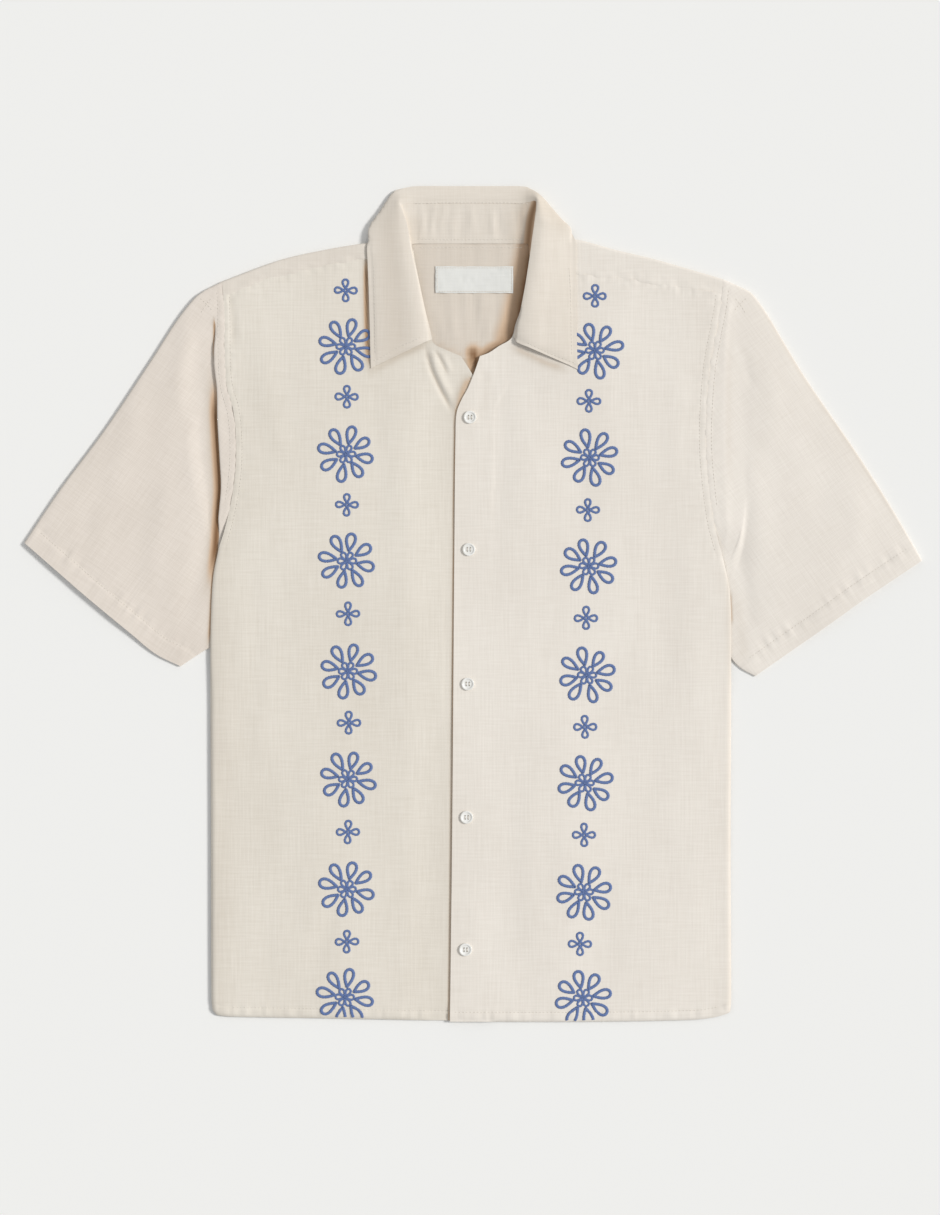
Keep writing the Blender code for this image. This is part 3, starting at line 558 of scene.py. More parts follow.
blends = {
    # spans of y where the sides rise over the sleeves, then under the arms, and where the neck ends
    "overSleeve": (-90, -45), "underArm": (35, 75), "neck": (213, 229),
    # spans past the right front's edge where the left front sinks and the right front leaves its lap
    "sinking": (-48, -7), "lapping": (32, 44),
    "fromHem": (0, 20),
}
rightEdge = Line(fronts["right"]["edge"])


def shoulderSeam(side):
    return Line(fronts[side]["shoulder"] + [tuple(armholeLines[side].at(seamFractions["frontShoulder"]))])


def sideAt(side, y):
    line = fronts[side]["side"]
    return Line(line).xAt(np.minimum(y, line[0][1]))


def frontPlan(side, along, across):
    front, armhole = fronts[side], armholeLines[side]
    corner = seamFractions["frontShoulder"]
    outer = chained(Line(front["side"][::-1]).at, lambda f: armhole.at(mix(1.0, corner, f)), shares["side"])
    inner = chained(Line(front["edge"]).at, Line(front["neckline"]).at, shares["edge"])
    return panelPlan(Line(front["hem"]).at, shoulderSeam(side).at, inner, outer, along, across)


def frontHeight(side, x, y):
    hemY = Line(fronts[side]["hem"]).yAt(x)
    lowAtSide = mix(cloth["side"], cloth["overhang"], ease(y, *blends["overSleeve"]))
    z = mix(lowAtSide, cloth["body"], quarterRound(np.abs(sideAt(side, y) - x), cloth["sideRoll"]))
    z = mix(z, cloth["body"], ease(y, *blends["underArm"]))
    z = mix(cloth["side"], z, quarterRound(y - hemY, cloth["hemRoll"]))
    over = x - rightEdge.xAt(y)
    if side == "left":
        underZ = mix(cloth["side"], cloth["underlap"], ease(y - hemY, *blends["fromHem"]))
        sunk = ease(over, *blends["sinking"]) * (1 - ease(y, *blends["neck"]))
        z = mix(z, np.minimum(z, underZ), sunk)
    else:
        lapZ = np.maximum(z, cloth["side"] + 1.5 * cloth["layer"])
        z = mix(lapZ, z, ease(over, *blends["lapping"]))
    return z


def frontRelief(side, x, y):
    front, hem = fronts[side], Line(fronts[side]["hem"])
    inside, seed = inward[side], front["seed"]
    free = ease(np.abs(sideAt(side, y) - x), 0, 14) * ease(y - hem.yAt(x), 0, 10)
    bump = softWaves(x, y, seed, 0.8) * free
    neck = Line(front["neckline"]).at(np.linspace(0, 1, 30))
    bump = bump + sewnBand(x, y, neck, [0.0, -seamRows["neck"] * inside], *puckers["neck"], seed + 9)
    for path, width, height in front["creases"]:
        bump = bump + crease(x, y, path, width, height)
    armPath = armholeLines[side].at(np.linspace(seamFractions["frontShoulder"], 1, 60))
    bump = bump + sewnBand(x, y, armPath, [seamRows["armhole"] * inside, 0.0], *puckers["armhole"], seed + 4)
    shoulder, rows = shoulderSeam(side).at(np.linspace(0, 1, 30)), [-seamRows["shoulder"] * inside, 0.0]
    bump = bump + sewnBand(x, y, shoulder, rows, *puckers["shoulder"], seed + 6)
    distance, along = nearLine(x, y, hem.at(np.linspace(0, 1, 40)))[:2]
    distance, row = np.abs(distance), seamRows["hem"]
    folded = hemRise * (1 - ease(distance, row - 1.2, row + 0.6))
    groove = -0.3 * np.exp(-((distance - row) / 1.0) ** 2)
    gathers = softNoise(along / 3.6, distance / 40, seed + 8) * np.exp(-((distance - 5) / 6) ** 2)
    return bump + (folded + groove + 0.45 * gathers) * ease(distance, 0, 2.5)


def makeFront(side):
    along = steps((0.02, 14), (shares["side"], 160), (shares["edge"], 66), (1.0, 50))
    across = steps((0.25, 34), (0.96, 76), (1.0, 10))
    plan = frontPlan(side, along, across)
    x, y = plan[..., 0], plan[..., 1]
    z = frontHeight(side, x, y) + frontRelief(side, x, y)
    over = x - rightEdge.xAt(y)
    if side == "left":
        z = np.where((over > -8) & (y < 208), np.minimum(z, cloth["lapLow"]), z)
    else:
        z = np.where((over < 34) & (y < 200), np.maximum(z, cloth["lapHigh"]), z)
    z = np.maximum(z, cloth["frontLow"])
    paintedShade = paintedShadeAt(f"front_{side}", x, y)
    if side == "left":
        near = np.exp(-((over + lapShadow["past"]) / lapShadow["wide"]) ** 2)
        paintedShade = np.maximum(paintedShade, lapShadow["depth"] * near * (y < lapShadow["top"]))
    return clothFromGrid(f"frontPanel_{side}", np.stack([x, y, z], -1), f"{side}Linen", f"front_{side}",
                         paintedShade=paintedShade)


# back and yoke

shoulderFolds = {
    "left": [(-60, 328), (-101, 324), (-151, 315), (-178, 308), (-226, 290)],
    "right": [(56, 331), (92, 328), (126, 319), (167, 309), (225, 292)],
}
backCreases = [
    # path, width, height
    ([(6, 286), (9, 262), (12, 232)], 1.6, 0.9),
    ([(13, 284), (15, 258), (15, 238)], 1.8, 0.8),
    ([(-20, 262), (-17, 245), (-12, 230)], 3.5, 0.6),
    ([(-34, 270), (-30, 250), (-24, 236)], 3.0, 0.5),
    ([(26, 276), (25, 256), (22, 238)], 3.0, 0.5),
    ([(-120, -60), (-90, -160), (-110, -300)], 16.0, 0.5),
    ([(90, 60), (120, -80), (100, -240)], 18.0, 0.5),
    ([(0, 120), (20, -20), (-10, -200)], 20.0, 0.4),
]


backPlan = {"sag": 5.0, "hem": 1.5, "spare": 0.6, "insetFrom": (-75, -52), "insetTo": (44, 54), "low": 0.32}


def makeBack():
    ends, plan = [], backPlan
    for side in fronts:
        low = Line(fronts[side]["side"]).at(np.linspace(1, 0, 90))
        hidden = ease(low[:, 1], *plan["insetFrom"]) * (1 - ease(low[:, 1], *plan["insetTo"]))
        inset = mix(plan["spare"], cloth["backInset"], hidden)
        low = low + np.stack([inward[side] * inset, np.zeros(90)], -1)
        low[0, 1] += plan["hem"]
        high = armholeLines[side].at(np.linspace(0.985, seamFractions["backYoke"], 40))
        ends.append(np.concatenate([low, high]))
    u = np.linspace(0, 1, 90)[None, :]
    rows = len(ends[0])
    sag = plan["sag"] * (1 - np.arange(rows) / (rows - 1))[:, None]
    x = mix(ends[0][:, :1], ends[1][:, :1], u)
    y = mix(ends[0][:, 1:], ends[1][:, 1:], u) - sag * (1 - (2 * u - 1) ** 4)
    z = np.full(x.shape, cloth["under"])
    seen = ease(y, 60, 140) * ease(52 - np.abs(x), 0, 18)  # only what shows in the neck lifts a little
    z = z + seen * (0.3 + 0.35 * softNoise(x / 9, y / 80, 71))
    for path, width, height in backCreases:
        z = z + np.maximum(crease(x, y, path, width, height), -0.3) * (z > 0.4)
    z = np.maximum(z, plan["low"])
    return clothFromGrid("backPanel", np.stack([x, y, z], -1), "insideLinen", "back",
                         paintedShade=paintedShadeAt("inside", x, y))


yokeGrid = {"flat": 22, "fold": 12, "front": 14, "side": 64, "neck": 34, "neckLine": 328.5}  # mostly counts


def shoulderColumn(side, fold, seam, fraction):  # from the back's seam over the shoulder to the front's seam
    radius = (cloth["body"] - cloth["under"]) / 2
    top, foot = fold.at(fraction), seam.at(fraction)
    armhole, backEnd = armholeLines[side], seamFractions["backYoke"]
    low, peak = armhole.at(backEnd), armhole.at(0)
    points = []
    for step in np.linspace(backEnd, 0.05, yokeGrid["flat"]):
        edge = armhole.at(step)
        share = (edge[1] - low[1]) / (peak[1] - low[1])
        points.append((mix(top[0], edge[0], fraction), mix(low[1], top[1] - radius, share), cloth["under"]))
    for angle in np.linspace(0, 180, yokeGrid["fold"]):
        turn = math.radians(angle)
        points.append((top[0], top[1] - radius + radius * math.sin(turn),
                       cloth["under"] + radius - radius * math.cos(turn)))
    start = np.array([top[0], top[1] - radius])
    for u in np.linspace(0, 1, yokeGrid["front"])[1:]:
        points.append((*mix(start, foot, u), cloth["body"]))
    lap = foot + (foot - start) / np.linalg.norm(foot - start) * cloth["lap"]
    points.append((*lap, cloth["body"] - cloth["lapDrop"]))
    return points


def makeYoke():
    flatRows, neckSteps, columns = yokeGrid["flat"], yokeGrid["neck"], {}
    for side in fronts:
        fold, seam = Line(shoulderFolds[side]), shoulderSeam(side)
        fractions = np.linspace(0, 1, yokeGrid["side"])[::-inward[side]]
        columns[side] = np.array([shoulderColumn(side, fold, seam, f) for f in fractions])
    left, right = columns["left"], columns["right"]
    neck = []
    for i in range(1, neckSteps):
        column = mix(left[-1], right[0], i / neckSteps)
        column[flatRows:] = [column[flatRows - 1][0], yokeGrid["neckLine"], cloth["under"]]
        neck.append(column)
    grid = np.concatenate([left, np.array(neck), right])
    x, y, z = grid[..., 0], grid[..., 1], grid[..., 2]
    onTop = z > cloth["body"] - 0.7
    for side in fronts:
        rows = [0.0, seamRows["shoulder"] * inward[side]]
        band = sewnBand(x, y, shoulderSeam(side).at(np.linspace(0, 1, 30)), rows, *puckers["shoulder"], 80)
        z = z + np.where(onTop, band, 0)
    z = z + np.where(onTop, softWaves(x * 1.6, y * 2.2, 83, 0.35), 0)
    seen = ease(52 - np.abs(x), 0, 14) * (z < 1.2)
    z = z + seen * (0.3 + 0.4 * softNoise(x / 6.5, y / 70, 71))
    for path, width, height in backCreases:
        z = z + seen * np.maximum(crease(x, y, path, width, height), -0.3)
    grid = np.stack([x, y, z], -1)
    skipped = np.zeros((grid.shape[0] - 1, grid.shape[1] - 1), bool)
    skipped[len(left) - 1:len(left) - 1 + neckSteps, flatRows:] = True
    # painted shade: at least 0.34 on the layer under the fronts, and 0.2 on the left half of the top layer,
    # away from the light
    paintedShade = np.where(z < 2.6, np.maximum(paintedShadeAt("inside", x, y), 0.34), 0.2 * (x < 0))
    return clothFromGrid("yokePanel", grid, "rightLinen", "yoke", skipped=skipped, paintedShade=paintedShade)


# sleeves

sleeves = {
    "left": {
        "turn": [(-234, 286), (-233, 262), (-233, 240), (-233, 215), (-230.6, 193), (-230, 165), (-228, 130),
                 (-226.9, 105), (-229.2, 76), (-229.6, 44)],
        # reach from the seam, 0, to the folded edge, 1, and the height there
        "head": [(0.0, 4.4), (0.45, 4.5), (0.93, 4.5), (1.0, 3.85), (0.93, 3.2), (0.42, 3.1), (0.35, 2.45),
                 (0.42, 1.8), (1.15, 1.8), (1.9, 2.2)],
        "tucked": True,
        "over": [(-250, 276), (-266, 256), (-288, 222), (-330, 159), (-371, 104), (-404, 55)],
        "under": [(-230.5, 20), (-231.5, -15), (-233, -36), (-243, -42), (-264, -56)],
        "cuff": [(-404, 55), (-373, 28), (-349, 7), (-308, -27), (-286, -45), (-264, -56)],
        "creases": [
            ([(-252, 268), (-262, 220), (-268, 170)], 9.0, 0.6),
            ([(-240, 210), (-256, 150), (-262, 90)], 12.0, -0.5),
            ([(-300, 190), (-318, 130), (-322, 80)], 12.0, 0.45),
            ([(-272, 120), (-284, 60), (-290, 10)], 10.0, 0.5),
            ([(-240, 70), (-250, 20), (-262, -25)], 8.0, -0.5),
            ([(-330, 120), (-345, 80), (-350, 50)], 9.0, -0.4),
        ],
        "grainTurn": math.radians(-34), "seed": 51,
    },
    "right": {
        "turn": [(234, 288), (231, 268), (228, 243), (227, 215), (227, 180), (227, 148), (228, 115),
                 (229, 70), (225.6, 34)],
        "head": [(0.0, 4.4), (0.4, 4.5), (0.8, 4.75), (1.0, 4.7), (1.35, 4.3), (1.9, 4.05)],
        "tucked": False,
        "over": [(251, 279), (266, 258), (276, 241), (299, 203), (346, 134), (379, 82), (404, 39)],
        "under": [(227.5, 10), (228, -25), (231, -46), (240, -57), (254, -65)],
        "cuff": [(404, 39), (371, 17), (349, 2), (317, -21), (284, -44), (254, -65)],
        "creases": [
            ([(234, 252), (245, 208), (253, 192)], 4.5, -0.7),
            ([(245, 276), (238, 268), (231, 258)], 3.0, -0.6),
            ([(262, 230), (268, 180), (266, 130)], 11.0, 0.45),
            ([(244, 140), (256, 80), (262, 20)], 12.0, 0.5),
            ([(300, 170), (312, 110), (308, 60)], 14.0, -0.45),
            ([(340, 110), (346, 70), (338, 40)], 10.0, 0.4),
            ([(238, 60), (246, 10), (250, -30)], 7.0, -0.6),
        ],
        "grainTurn": math.radians(34), "seed": 61,
    },
}
sleeveHeights = {"puff": 4.3, "fold": 3.0, "tucked": 1.8}
sleeveGrid = {"rim": 9, "over": 104, "under": 56}  # points round a folded edge, on the top and below


def sleeveRing(tops, heights, belows, edges):
    def turn(edge, inner, height):
        radius = (height - cloth["under"]) / 2
        inward = (inner - edge) / np.hypot(*(inner - edge))
        angles = np.radians(np.linspace(-90, 90, sleeveGrid["rim"]))[:, None]
        spots = edge + inward * radius * (1 - np.cos(angles))
        return np.concatenate([spots, cloth["under"] + radius + radius * np.sin(angles)], 1)

    ring = [turn(edges[0], tops[0], heights[0])]
    ring.append(np.concatenate([tops[1:-1], heights[1:-1, None]], 1))
    ring.append(turn(edges[1], tops[-1], heights[-1])[::-1])
    ring.append(np.concatenate([belows[::-1], np.full((len(belows), 1), cloth["under"])], 1))
    return np.concatenate(ring)


def sleeveLines(side):
    sleeve, armhole = sleeves[side], armholeLines[side]
    turnEdge = Line(sleeve["turn"])
    t = np.concatenate([[0.0], np.linspace(0.014, 0.986, sleeveGrid["over"]), [1.0]])
    tLow = np.linspace(0.03, 0.97, sleeveGrid["under"])
    head = between(sleeve["head"], 4)
    lines = []
    firstReach, lastReach = head[0][0], head[-1][0]
    for number, (reach, lineZ) in enumerate(head):
        share = number / (len(head) - 1)
        evenReach = mix(firstReach, lastReach, share)
        full = ease(t, 0.10, 0.24) * (1 - ease(t, 0.86, 0.98)) if sleeve["tucked"] else ease(t, 0.02, 0.1)
        strip = turnEdge.at(t) - armhole.at(t)
        flatZ = mix(mix(cloth["body"], cloth["body"] - 0.3, share), mix(cloth["body"], head[-1][1], share),
                    ease(t, 0.1, 0.5))
        tops = armhole.at(t) + strip * mix(evenReach, reach, full)[:, None]
        z = mix(mix(flatZ, lineZ, full), sleeveHeights["tucked"], ease(t, 0.84, 0.97))
        belows = armhole.at(tLow) + (turnEdge.at(tLow) - armhole.at(tLow)) * evenReach
        lines.append((tops, z, belows))
    lap = np.array([cloth["lap"] * inward[side], 0.0])
    lines.insert(0, (lines[0][0] + lap, lines[0][1] - cloth["lapDrop"], lines[0][2] + 0.3 * lap))
    startPoints, startZ = lines[-1][0], lines[-1][1]
    startLine = Line(startPoints)
    overLine = Line([tuple(startPoints[0])] + sleeve["over"])
    underLine = Line([tuple(startPoints[-1])] + sleeve["under"])
    cuffLine = Line(sleeve["cuff"])
    along = steps((0.9, 62), (1.0, 14))[1:]

    def plan(across):
        return panelPlan(startLine.at, cuffLine.at, overLine.at, underLine.at, along, across)

    tops, belows = plan(t), plan(tLow)
    for i, s in enumerate(along):
        puff = np.minimum(quarterRound(t, 0.2), ease(1 - t, 0.05, 0.5)) * (1 - 0.2 * ease(s, 0.7, 1.0))
        edgeZ = mix(sleeveHeights["fold"], sleeveHeights["tucked"], ease(t, 0.4, 1.0))
        z = mix(startZ, mix(edgeZ, sleeveHeights["puff"], puff), ease(s, 0.0, 0.2))
        lines.append((tops[i], z, belows[i]))
    return lines, len(head) + 1


def sleeveRelief(side, x, y):
    sleeve = sleeves[side]
    bump = softWaves(x, y, sleeve["seed"], 0.8)
    for path, width, height in sleeve["creases"]:
        bump = bump + crease(x, y, path, width, height)
    distance, along = nearLine(x, y, Line(sleeve["cuff"]).at(np.linspace(0, 1, 40)))[:2]
    distance, row = np.abs(distance), seamRows["cuff"]
    folded = hemRise * (1 - ease(distance, row - 1.0, row + 1.2))
    groove = -0.32 * np.exp(-((distance - row) / 1.1) ** 2)
    gathers = softNoise(along / 5.0, distance / 30, sleeve["seed"] + 8)
    return bump + folded + groove + 0.55 * gathers * np.exp(-((distance - row) / 7) ** 2)


def makeSleeve(side):
    sleeve = sleeves[side]
    lines, headCount = sleeveLines(side)
    grid = np.array([sleeveRing(tops[1:-1], z[1:-1], belows, (tops[0], tops[-1]))
                     for tops, z, belows in lines])
    x, y, z = grid[..., 0], grid[..., 1], grid[..., 2]
    rim = sleeveGrid["rim"]
    lastTop = 2 * rim + sleeveGrid["over"] - 2
    onTop = np.zeros(grid.shape[1])
    onTop[:lastTop] = 1.0
    onTop[:rim] = np.linspace(0, 1, rim) ** 2 * 0.6
    onTop[lastTop - rim:lastTop] = np.linspace(1, 0, rim) ** 2 * 0.6
    lineShare = ease(np.arange(grid.shape[0]), headCount - 2, headCount + 7)[:, None]
    raised = z + sleeveRelief(side, x, y) * onTop[None] * lineShare
    armPath = armholeLines[side].at(np.linspace(0, 1, 70))
    rows = [0.0, -seamRows["armhole"] * inward[side]]
    band = sewnBand(x, y, armPath, rows, *puckers["armhole"], fronts[side]["seed"] + 4)
    raised = raised + band * (1 - lineShare) * onTop[None] * (z > 4.0)
    below = 0.22 * np.maximum(softNoise(x / 26, y / 60, sleeve["seed"] + 20), 0) * lineShare
    raised = np.maximum(raised + np.where(onTop[None] < 0.01, below, 0), cloth["floorLow"])
    past = (np.arange(grid.shape[0]) > headCount * 0.55)[:, None]  # the part below the tuck's folded edge
    return clothFromGrid(f"sleeveTube_{side}", np.stack([x, y, raised], -1), f"{side}SleeveLinen",
                         f"sleeve_{side}", closed=True, turn=sleeve["grainTurn"],
                         paintedShade=paintedShadeAt(f"sleeve_{side}", x, y) * past)


# collar, stand and label

collar = {
    # places of the roll where it joins the stand, of its outermost line and of its free edge,
    # and how far it wraps: 0 lies on the front, 1 is folded under
    "lines": [
        (-42, 236, 7.4, -84, 216, 5.9, -92, 212, 5.6, 0.0),
        (-43, 246, 7.5, -85, 227, 7.0, -92.5, 224, 6.2, 0.0),
        (-46, 263, 7.8, -86, 250, 7.2, -93, 248, 6.2, 0.0),
        (-51, 294, 7.8, -87, 284, 7.2, -94, 282, 6.2, 0.0),
        (-56, 318, 7.7, -88, 308, 7.2, -95, 307, 6.3, 0.0),
        (-58, 330, 7.6, -93, 323.5, 6.8, -95.2, 323, 6.1, 0.0),
        (-60, 342, 7.4, -94, 338, 4.8, -89, 334, 2.4, 0.5),
        (-64, 354, 6.8, -82.5, 355.5, 3.8, -75, 338, 0.7, 1.0),
        (-65, 361, 5.8, -72, 370.5, 2.9, -61, 336, 0.7, 1.0),
        (-56, 363, 4.2, -59, 375, 2.1, -52, 333, 0.7, 1.0),
        (-46, 363, 3.7, -47, 376, 2.0, -44, 331, 0.7, 1.0),
        (-25, 363, 3.6, -25, 376, 1.9, -25, 331, 0.7, 1.0),
        (0, 363, 3.6, 0, 376, 1.9, 0, 331, 0.7, 1.0),
        (22, 363, 3.6, 22, 376, 1.9, 22, 331, 0.7, 1.0),
        (42, 363, 3.9, 44, 375.8, 2.0, 42, 331, 0.7, 1.0),
        (50, 364, 5.4, 52, 373.4, 2.8, 48, 334, 0.7, 1.0),
        (56.5, 364.5, 8.6, 60.5, 367.5, 4.6, 56, 345, 0.7, 1.0),
        (57, 357, 10.2, 70, 357, 4.8, 66, 342, 0.8, 0.9),
        (56, 348, 11.0, 79, 346.5, 5.2, 76, 341, 1.6, 0.7),
        (55, 340, 10.4, 88, 336.5, 6.0, 86, 336, 3.6, 0.35),
        (53, 327, 10.4, 86, 323, 7.2, 92, 325, 6.4, 0.0),
        (51, 312, 10.2, 86, 305, 7.0, 92, 304, 6.0, 0.0),
        (47, 288, 10.0, 86, 280, 6.9, 92.5, 279, 5.9, 0.0),
        (42.5, 264, 9.6, 86, 249, 6.9, 93, 247, 5.9, 0.0),
        (40, 248, 8.8, 86, 226, 6.7, 93.5, 223, 5.8, 0.0),
        (39.5, 235, 7.2, 86, 215, 5.7, 94, 211, 5.4, 0.0),
    ],
    "perSpan": 8,
    "across": 40,
}
standFeet = [
    (-37, 238, 5.6), (-39, 247, 5.6), (-43, 263, 5.6), (-49, 290, 5.6), (-52.5, 306, 5.2), (-54, 312, 4.4),
    (-55, 319, 3.2), (-56, 322, 2.0), (-55, 324, 1.7), (-50, 324.5, 1.6), (-44, 324.5, 1.6),
    (-25, 324.5, 1.6), (0, 324.5, 1.6), (22, 324.5, 1.6), (40, 324.5, 1.6), (47, 324.5, 1.6),
    (49, 324, 1.7), (50, 322, 2.0),
    (50.5, 317, 2.6), (51, 313, 3.6), (51.5, 306, 5.0), (51.5, 298, 5.6), (49, 285, 5.6), (43.5, 263, 5.6),
    (39, 250, 5.6), (36, 241, 5.6),
]


def collarRow(line, foot):
    roll, side, edge, wrap = line[0:3], line[3:6], line[6:9], min(max(line[9], 0.0), 1.0)
    up = (roll - foot) / np.linalg.norm(roll - foot)
    level = np.hypot(up[0], up[1])
    proud = np.array([-up[0] / level * up[2], -up[1] / level * up[2], level]) * 0.35
    lap = roll - up * 2.5 + proud
    roll = roll + proud
    crest = mix(roll, side, 0.22)
    crest[2] = roll[2] + mix(1.0, 0.2, wrap)
    shoulder = mix(roll, side, 0.6)
    shoulder[2] = mix(roll[2], side[2], 0.42) + mix(0.4, 0.1, wrap)
    underBack = mix(side, edge, 0.14)
    underBack[2] = cloth["under"] + 0.2
    under = mix(mix(side, edge, 0.5), underBack, wrap)
    turn = mix(side, under, 0.45)
    turn[2] -= 0.15 * wrap
    row = [lap, roll, crest, shoulder, side, turn, under, mix(under, edge, 0.5), edge]
    return Line(row).at(np.linspace(0, 1, collar["across"]))


def makeCollar():
    lines = between(collar["lines"], collar["perSpan"])
    feet = between(standFeet, collar["perSpan"])
    grid = np.array([collarRow(line, foot) for line, foot in zip(lines, feet)])
    count = len(lines)
    x, y, z = grid[..., 0], grid[..., 1], grid[..., 2]
    onTop = ease(z, 4.5, 6.0)
    z = z + onTop * softWaves(x * 1.8, y * 1.2, 91, 0.35)
    across = np.linspace(0, 1, collar["across"])[None, :]
    along = np.minimum(np.arange(count), count - 1 - np.arange(count))[:, None] / count
    endRow = 0.3 * np.exp(-((along - 0.012) / 0.006) ** 2)
    z = z - endRow * onTop - 0.25 * onTop * np.exp(-((across - 0.93) / 0.02) ** 2)
    z = np.maximum(z, cloth["floorLow"])
    return clothFromGrid("collarFall", np.stack([x, y, z], -1), "collarLinen", "collar",
                         paintedShade=paintedShadeAt("collar", x, y))


def makeStand():
    lines = between(collar["lines"], collar["perSpan"])
    feet = between(standFeet, collar["perSpan"])
    rise = np.linspace(0, 1, 16)[:, None]
    grid = []
    for line, foot in zip(lines, feet):
        roll, wrap = line[0:3], min(max(line[9], 0.0), 1.0)
        top = roll - (roll - foot) / np.linalg.norm(roll - foot) * 0.3
        top[2] -= 0.5 * (1 - wrap)
        grid.append(mix(foot[None], top[None], rise))
    grid = np.array(grid)
    x, y, z = grid[..., 0], grid[..., 1], grid[..., 2]
    atBack = ease(y, 322, 330) * ease(54 - np.abs(x), 0, 10)
    across = softNoise(x / 4.2 + 0.02 * y, y / 30, 95) + 0.6 * softNoise(x / 2.4 - 0.03 * y, y / 22, 96)
    z = z + atBack * 0.75 * across * np.sin(np.pi * rise[:, 0])[None] * mix(1.0, 0.6, ease(x, -20, 40))
    return clothFromGrid("collarStand", np.stack([x, y, z], -1), "collarLinen", "collar_stand",
                         paintedShade=paintedShadeAt("stand", x, y))


label = {"wide": 70.0, "high": 24.0, "centre": (1.0, 292.0), "z": 1.9, "row": 1.4, "pitch": 2.4}


def makeLabel():
    u, v = np.meshgrid(np.linspace(-0.5, 0.5, 60), np.linspace(-0.5, 0.5, 22))
    frayed = 0.35 * softNoise(u * 24, v * 3, 97) * (2 * np.abs(v)) ** 4
    x = label["centre"][0] + u * label["wide"] + 0.3 * softNoise(u * 3, v * 10, 98) * (2 * np.abs(u)) ** 6
    y = label["centre"][1] + v * label["high"] + frayed
    z = label["z"] + 0.25 * softNoise(u * 7, v * 2, 99) + 0.12 * softNoise(u * 20, v * 5, 100)
    return clothFromGrid("neckTape", np.stack([x, y, z], -1), "labelTape", "neck_label")


pieces = {f"front_{side}": makeFront(side) for side in fronts}
pieces["back"], pieces["yoke"] = makeBack(), makeYoke()
pieces.update({f"sleeve_{side}": makeSleeve(side) for side in sleeves})
pieces["collar"], pieces["stand"], pieces["label"] = makeCollar(), makeStand(), makeLabel()
print("cloth laid out")


# stitching

class TopOf:  # finds the height of a piece's upper side under a plan point

    def __init__(self, *names):
        vertices, faces = [], []
        for name in names:
            mesh = pieces[name].data
            start = len(vertices)
            vertices += [v.co.copy() for v in mesh.vertices]
            faces += [[start + i for i in face.vertices] for face in mesh.polygons]
        self.tree = BVHTree.FromPolygons(vertices, faces)

    def at(self, x, y):
        hit = self.tree.ray_cast(Vector((x * mm, y * mm, 0.05)), Vector((0, 0, -1)))
        return None if hit[0] is None else hit[0].z / mm


def cordMesh(name, strands, material):
    # strands are lists of (centre points, half widths, heights, closed), all in millimetres
    vertices, faces, places = [], [], []
    profile = [(-1.0, 0.0), (-0.6, 0.9), (0.0, 0.74), (0.6, 0.9), (1.0, 0.0), (0.0, -0.35)]
    n = len(profile)
    for points, halves, highs, closed in strands:
        points = np.array(points)
        if closed:
            ahead, behind = np.roll(points, -1, 0), np.roll(points, 1, 0)
        else:
            ahead = np.concatenate([points[1:], points[-1:]])
            behind = np.concatenate([points[:1], points[:-1]])
        way = (ahead - behind)[:, :2]
        way = way / np.maximum(np.hypot(way[:, 0], way[:, 1]), 1e-6)[:, None]
        sideways = np.stack([way[:, 1], -way[:, 0]], -1)
        walked = np.concatenate([[0], np.cumsum(np.linalg.norm(np.diff(points, axis=0), axis=1))])
        start, count = len(vertices), len(points)
        for i, point in enumerate(points):
            for across, up in profile:
                spot = point[:2] + sideways[i] * across * halves[i]
                vertices.append((spot[0] * mm, spot[1] * mm, (point[2] + up * highs[i]) * mm))
                places.append((walked[i] * mm, (across + 1) * halves[i] * mm))
        for i in range(count if closed else count - 1):
            a, b = start + i * n, start + (i + 1) % count * n
            faces += [(a + k, a + (k + 1) % n, b + (k + 1) % n, b + k) for k in range(n)]
        if not closed:
            faces.append(tuple(start + k for k in reversed(range(n))))
            faces.append(tuple(start + (count - 1) * n + k for k in range(n)))
    piece = newPiece(name, vertices, faces, places, material)
    piece.data.shade_smooth()
    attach(piece, "root")
    print(name, len(faces), "faces")


stitch = {
    "pitch": 3.3, "long": 2.5, "half": 0.28, "high": 0.24, "dip": 0.12,
    # along one stitch: place, share of the half width, share of the height
    "form": [(0.0, 0.5, 0.4), (0.22, 0.95, 0.9), (0.5, 1.0, 1.0), (0.78, 0.95, 0.9), (1.0, 0.5, 0.4)],
}


def sewRow(surface, path, strands, seed, pitch=stitch["pitch"]):
    rng = random.Random(seed)
    path = np.array(path, float)
    spans = np.linalg.norm(np.diff(path, axis=0), axis=1)
    reach = np.concatenate([[0], np.cumsum(spans)])
    halves = [stitch["half"] * wide for u, wide, high in stitch["form"]]
    highs = [stitch["high"] * high for u, wide, high in stitch["form"]]
    here = pitch * 0.5
    while here < reach[-1] - stitch["long"]:
        length = stitch["long"] * rng.uniform(0.85, 1.1)
        spots = []
        for u, wide, high in stitch["form"]:
            where = here + length * u
            x, y = np.interp(where, reach, path[:, 0]), np.interp(where, reach, path[:, 1])
            z = surface.at(x, y)
            if z is not None:
                spots.append((x, y, z if 0 < u < 1 else z - stitch["dip"]))
        if len(spots) == len(halves):
            strands.append((spots, halves, highs, False))
        here += pitch * rng.uniform(0.94, 1.06)


def offsetPath(line, offset, start=0.0, end=1.0, count=90):
    points = line.at(np.linspace(start, end, count))
    way = np.gradient(points, axis=0)
    way = way / np.hypot(way[:, 0], way[:, 1])[:, None]
    return points + offset * np.stack([-way[:, 1], way[:, 0]], -1)


# at each sleeve's head
tackCross = [[(247, 276), (240, 270), (234, 263)], [(235, 276), (241, 268), (246, 260)]]


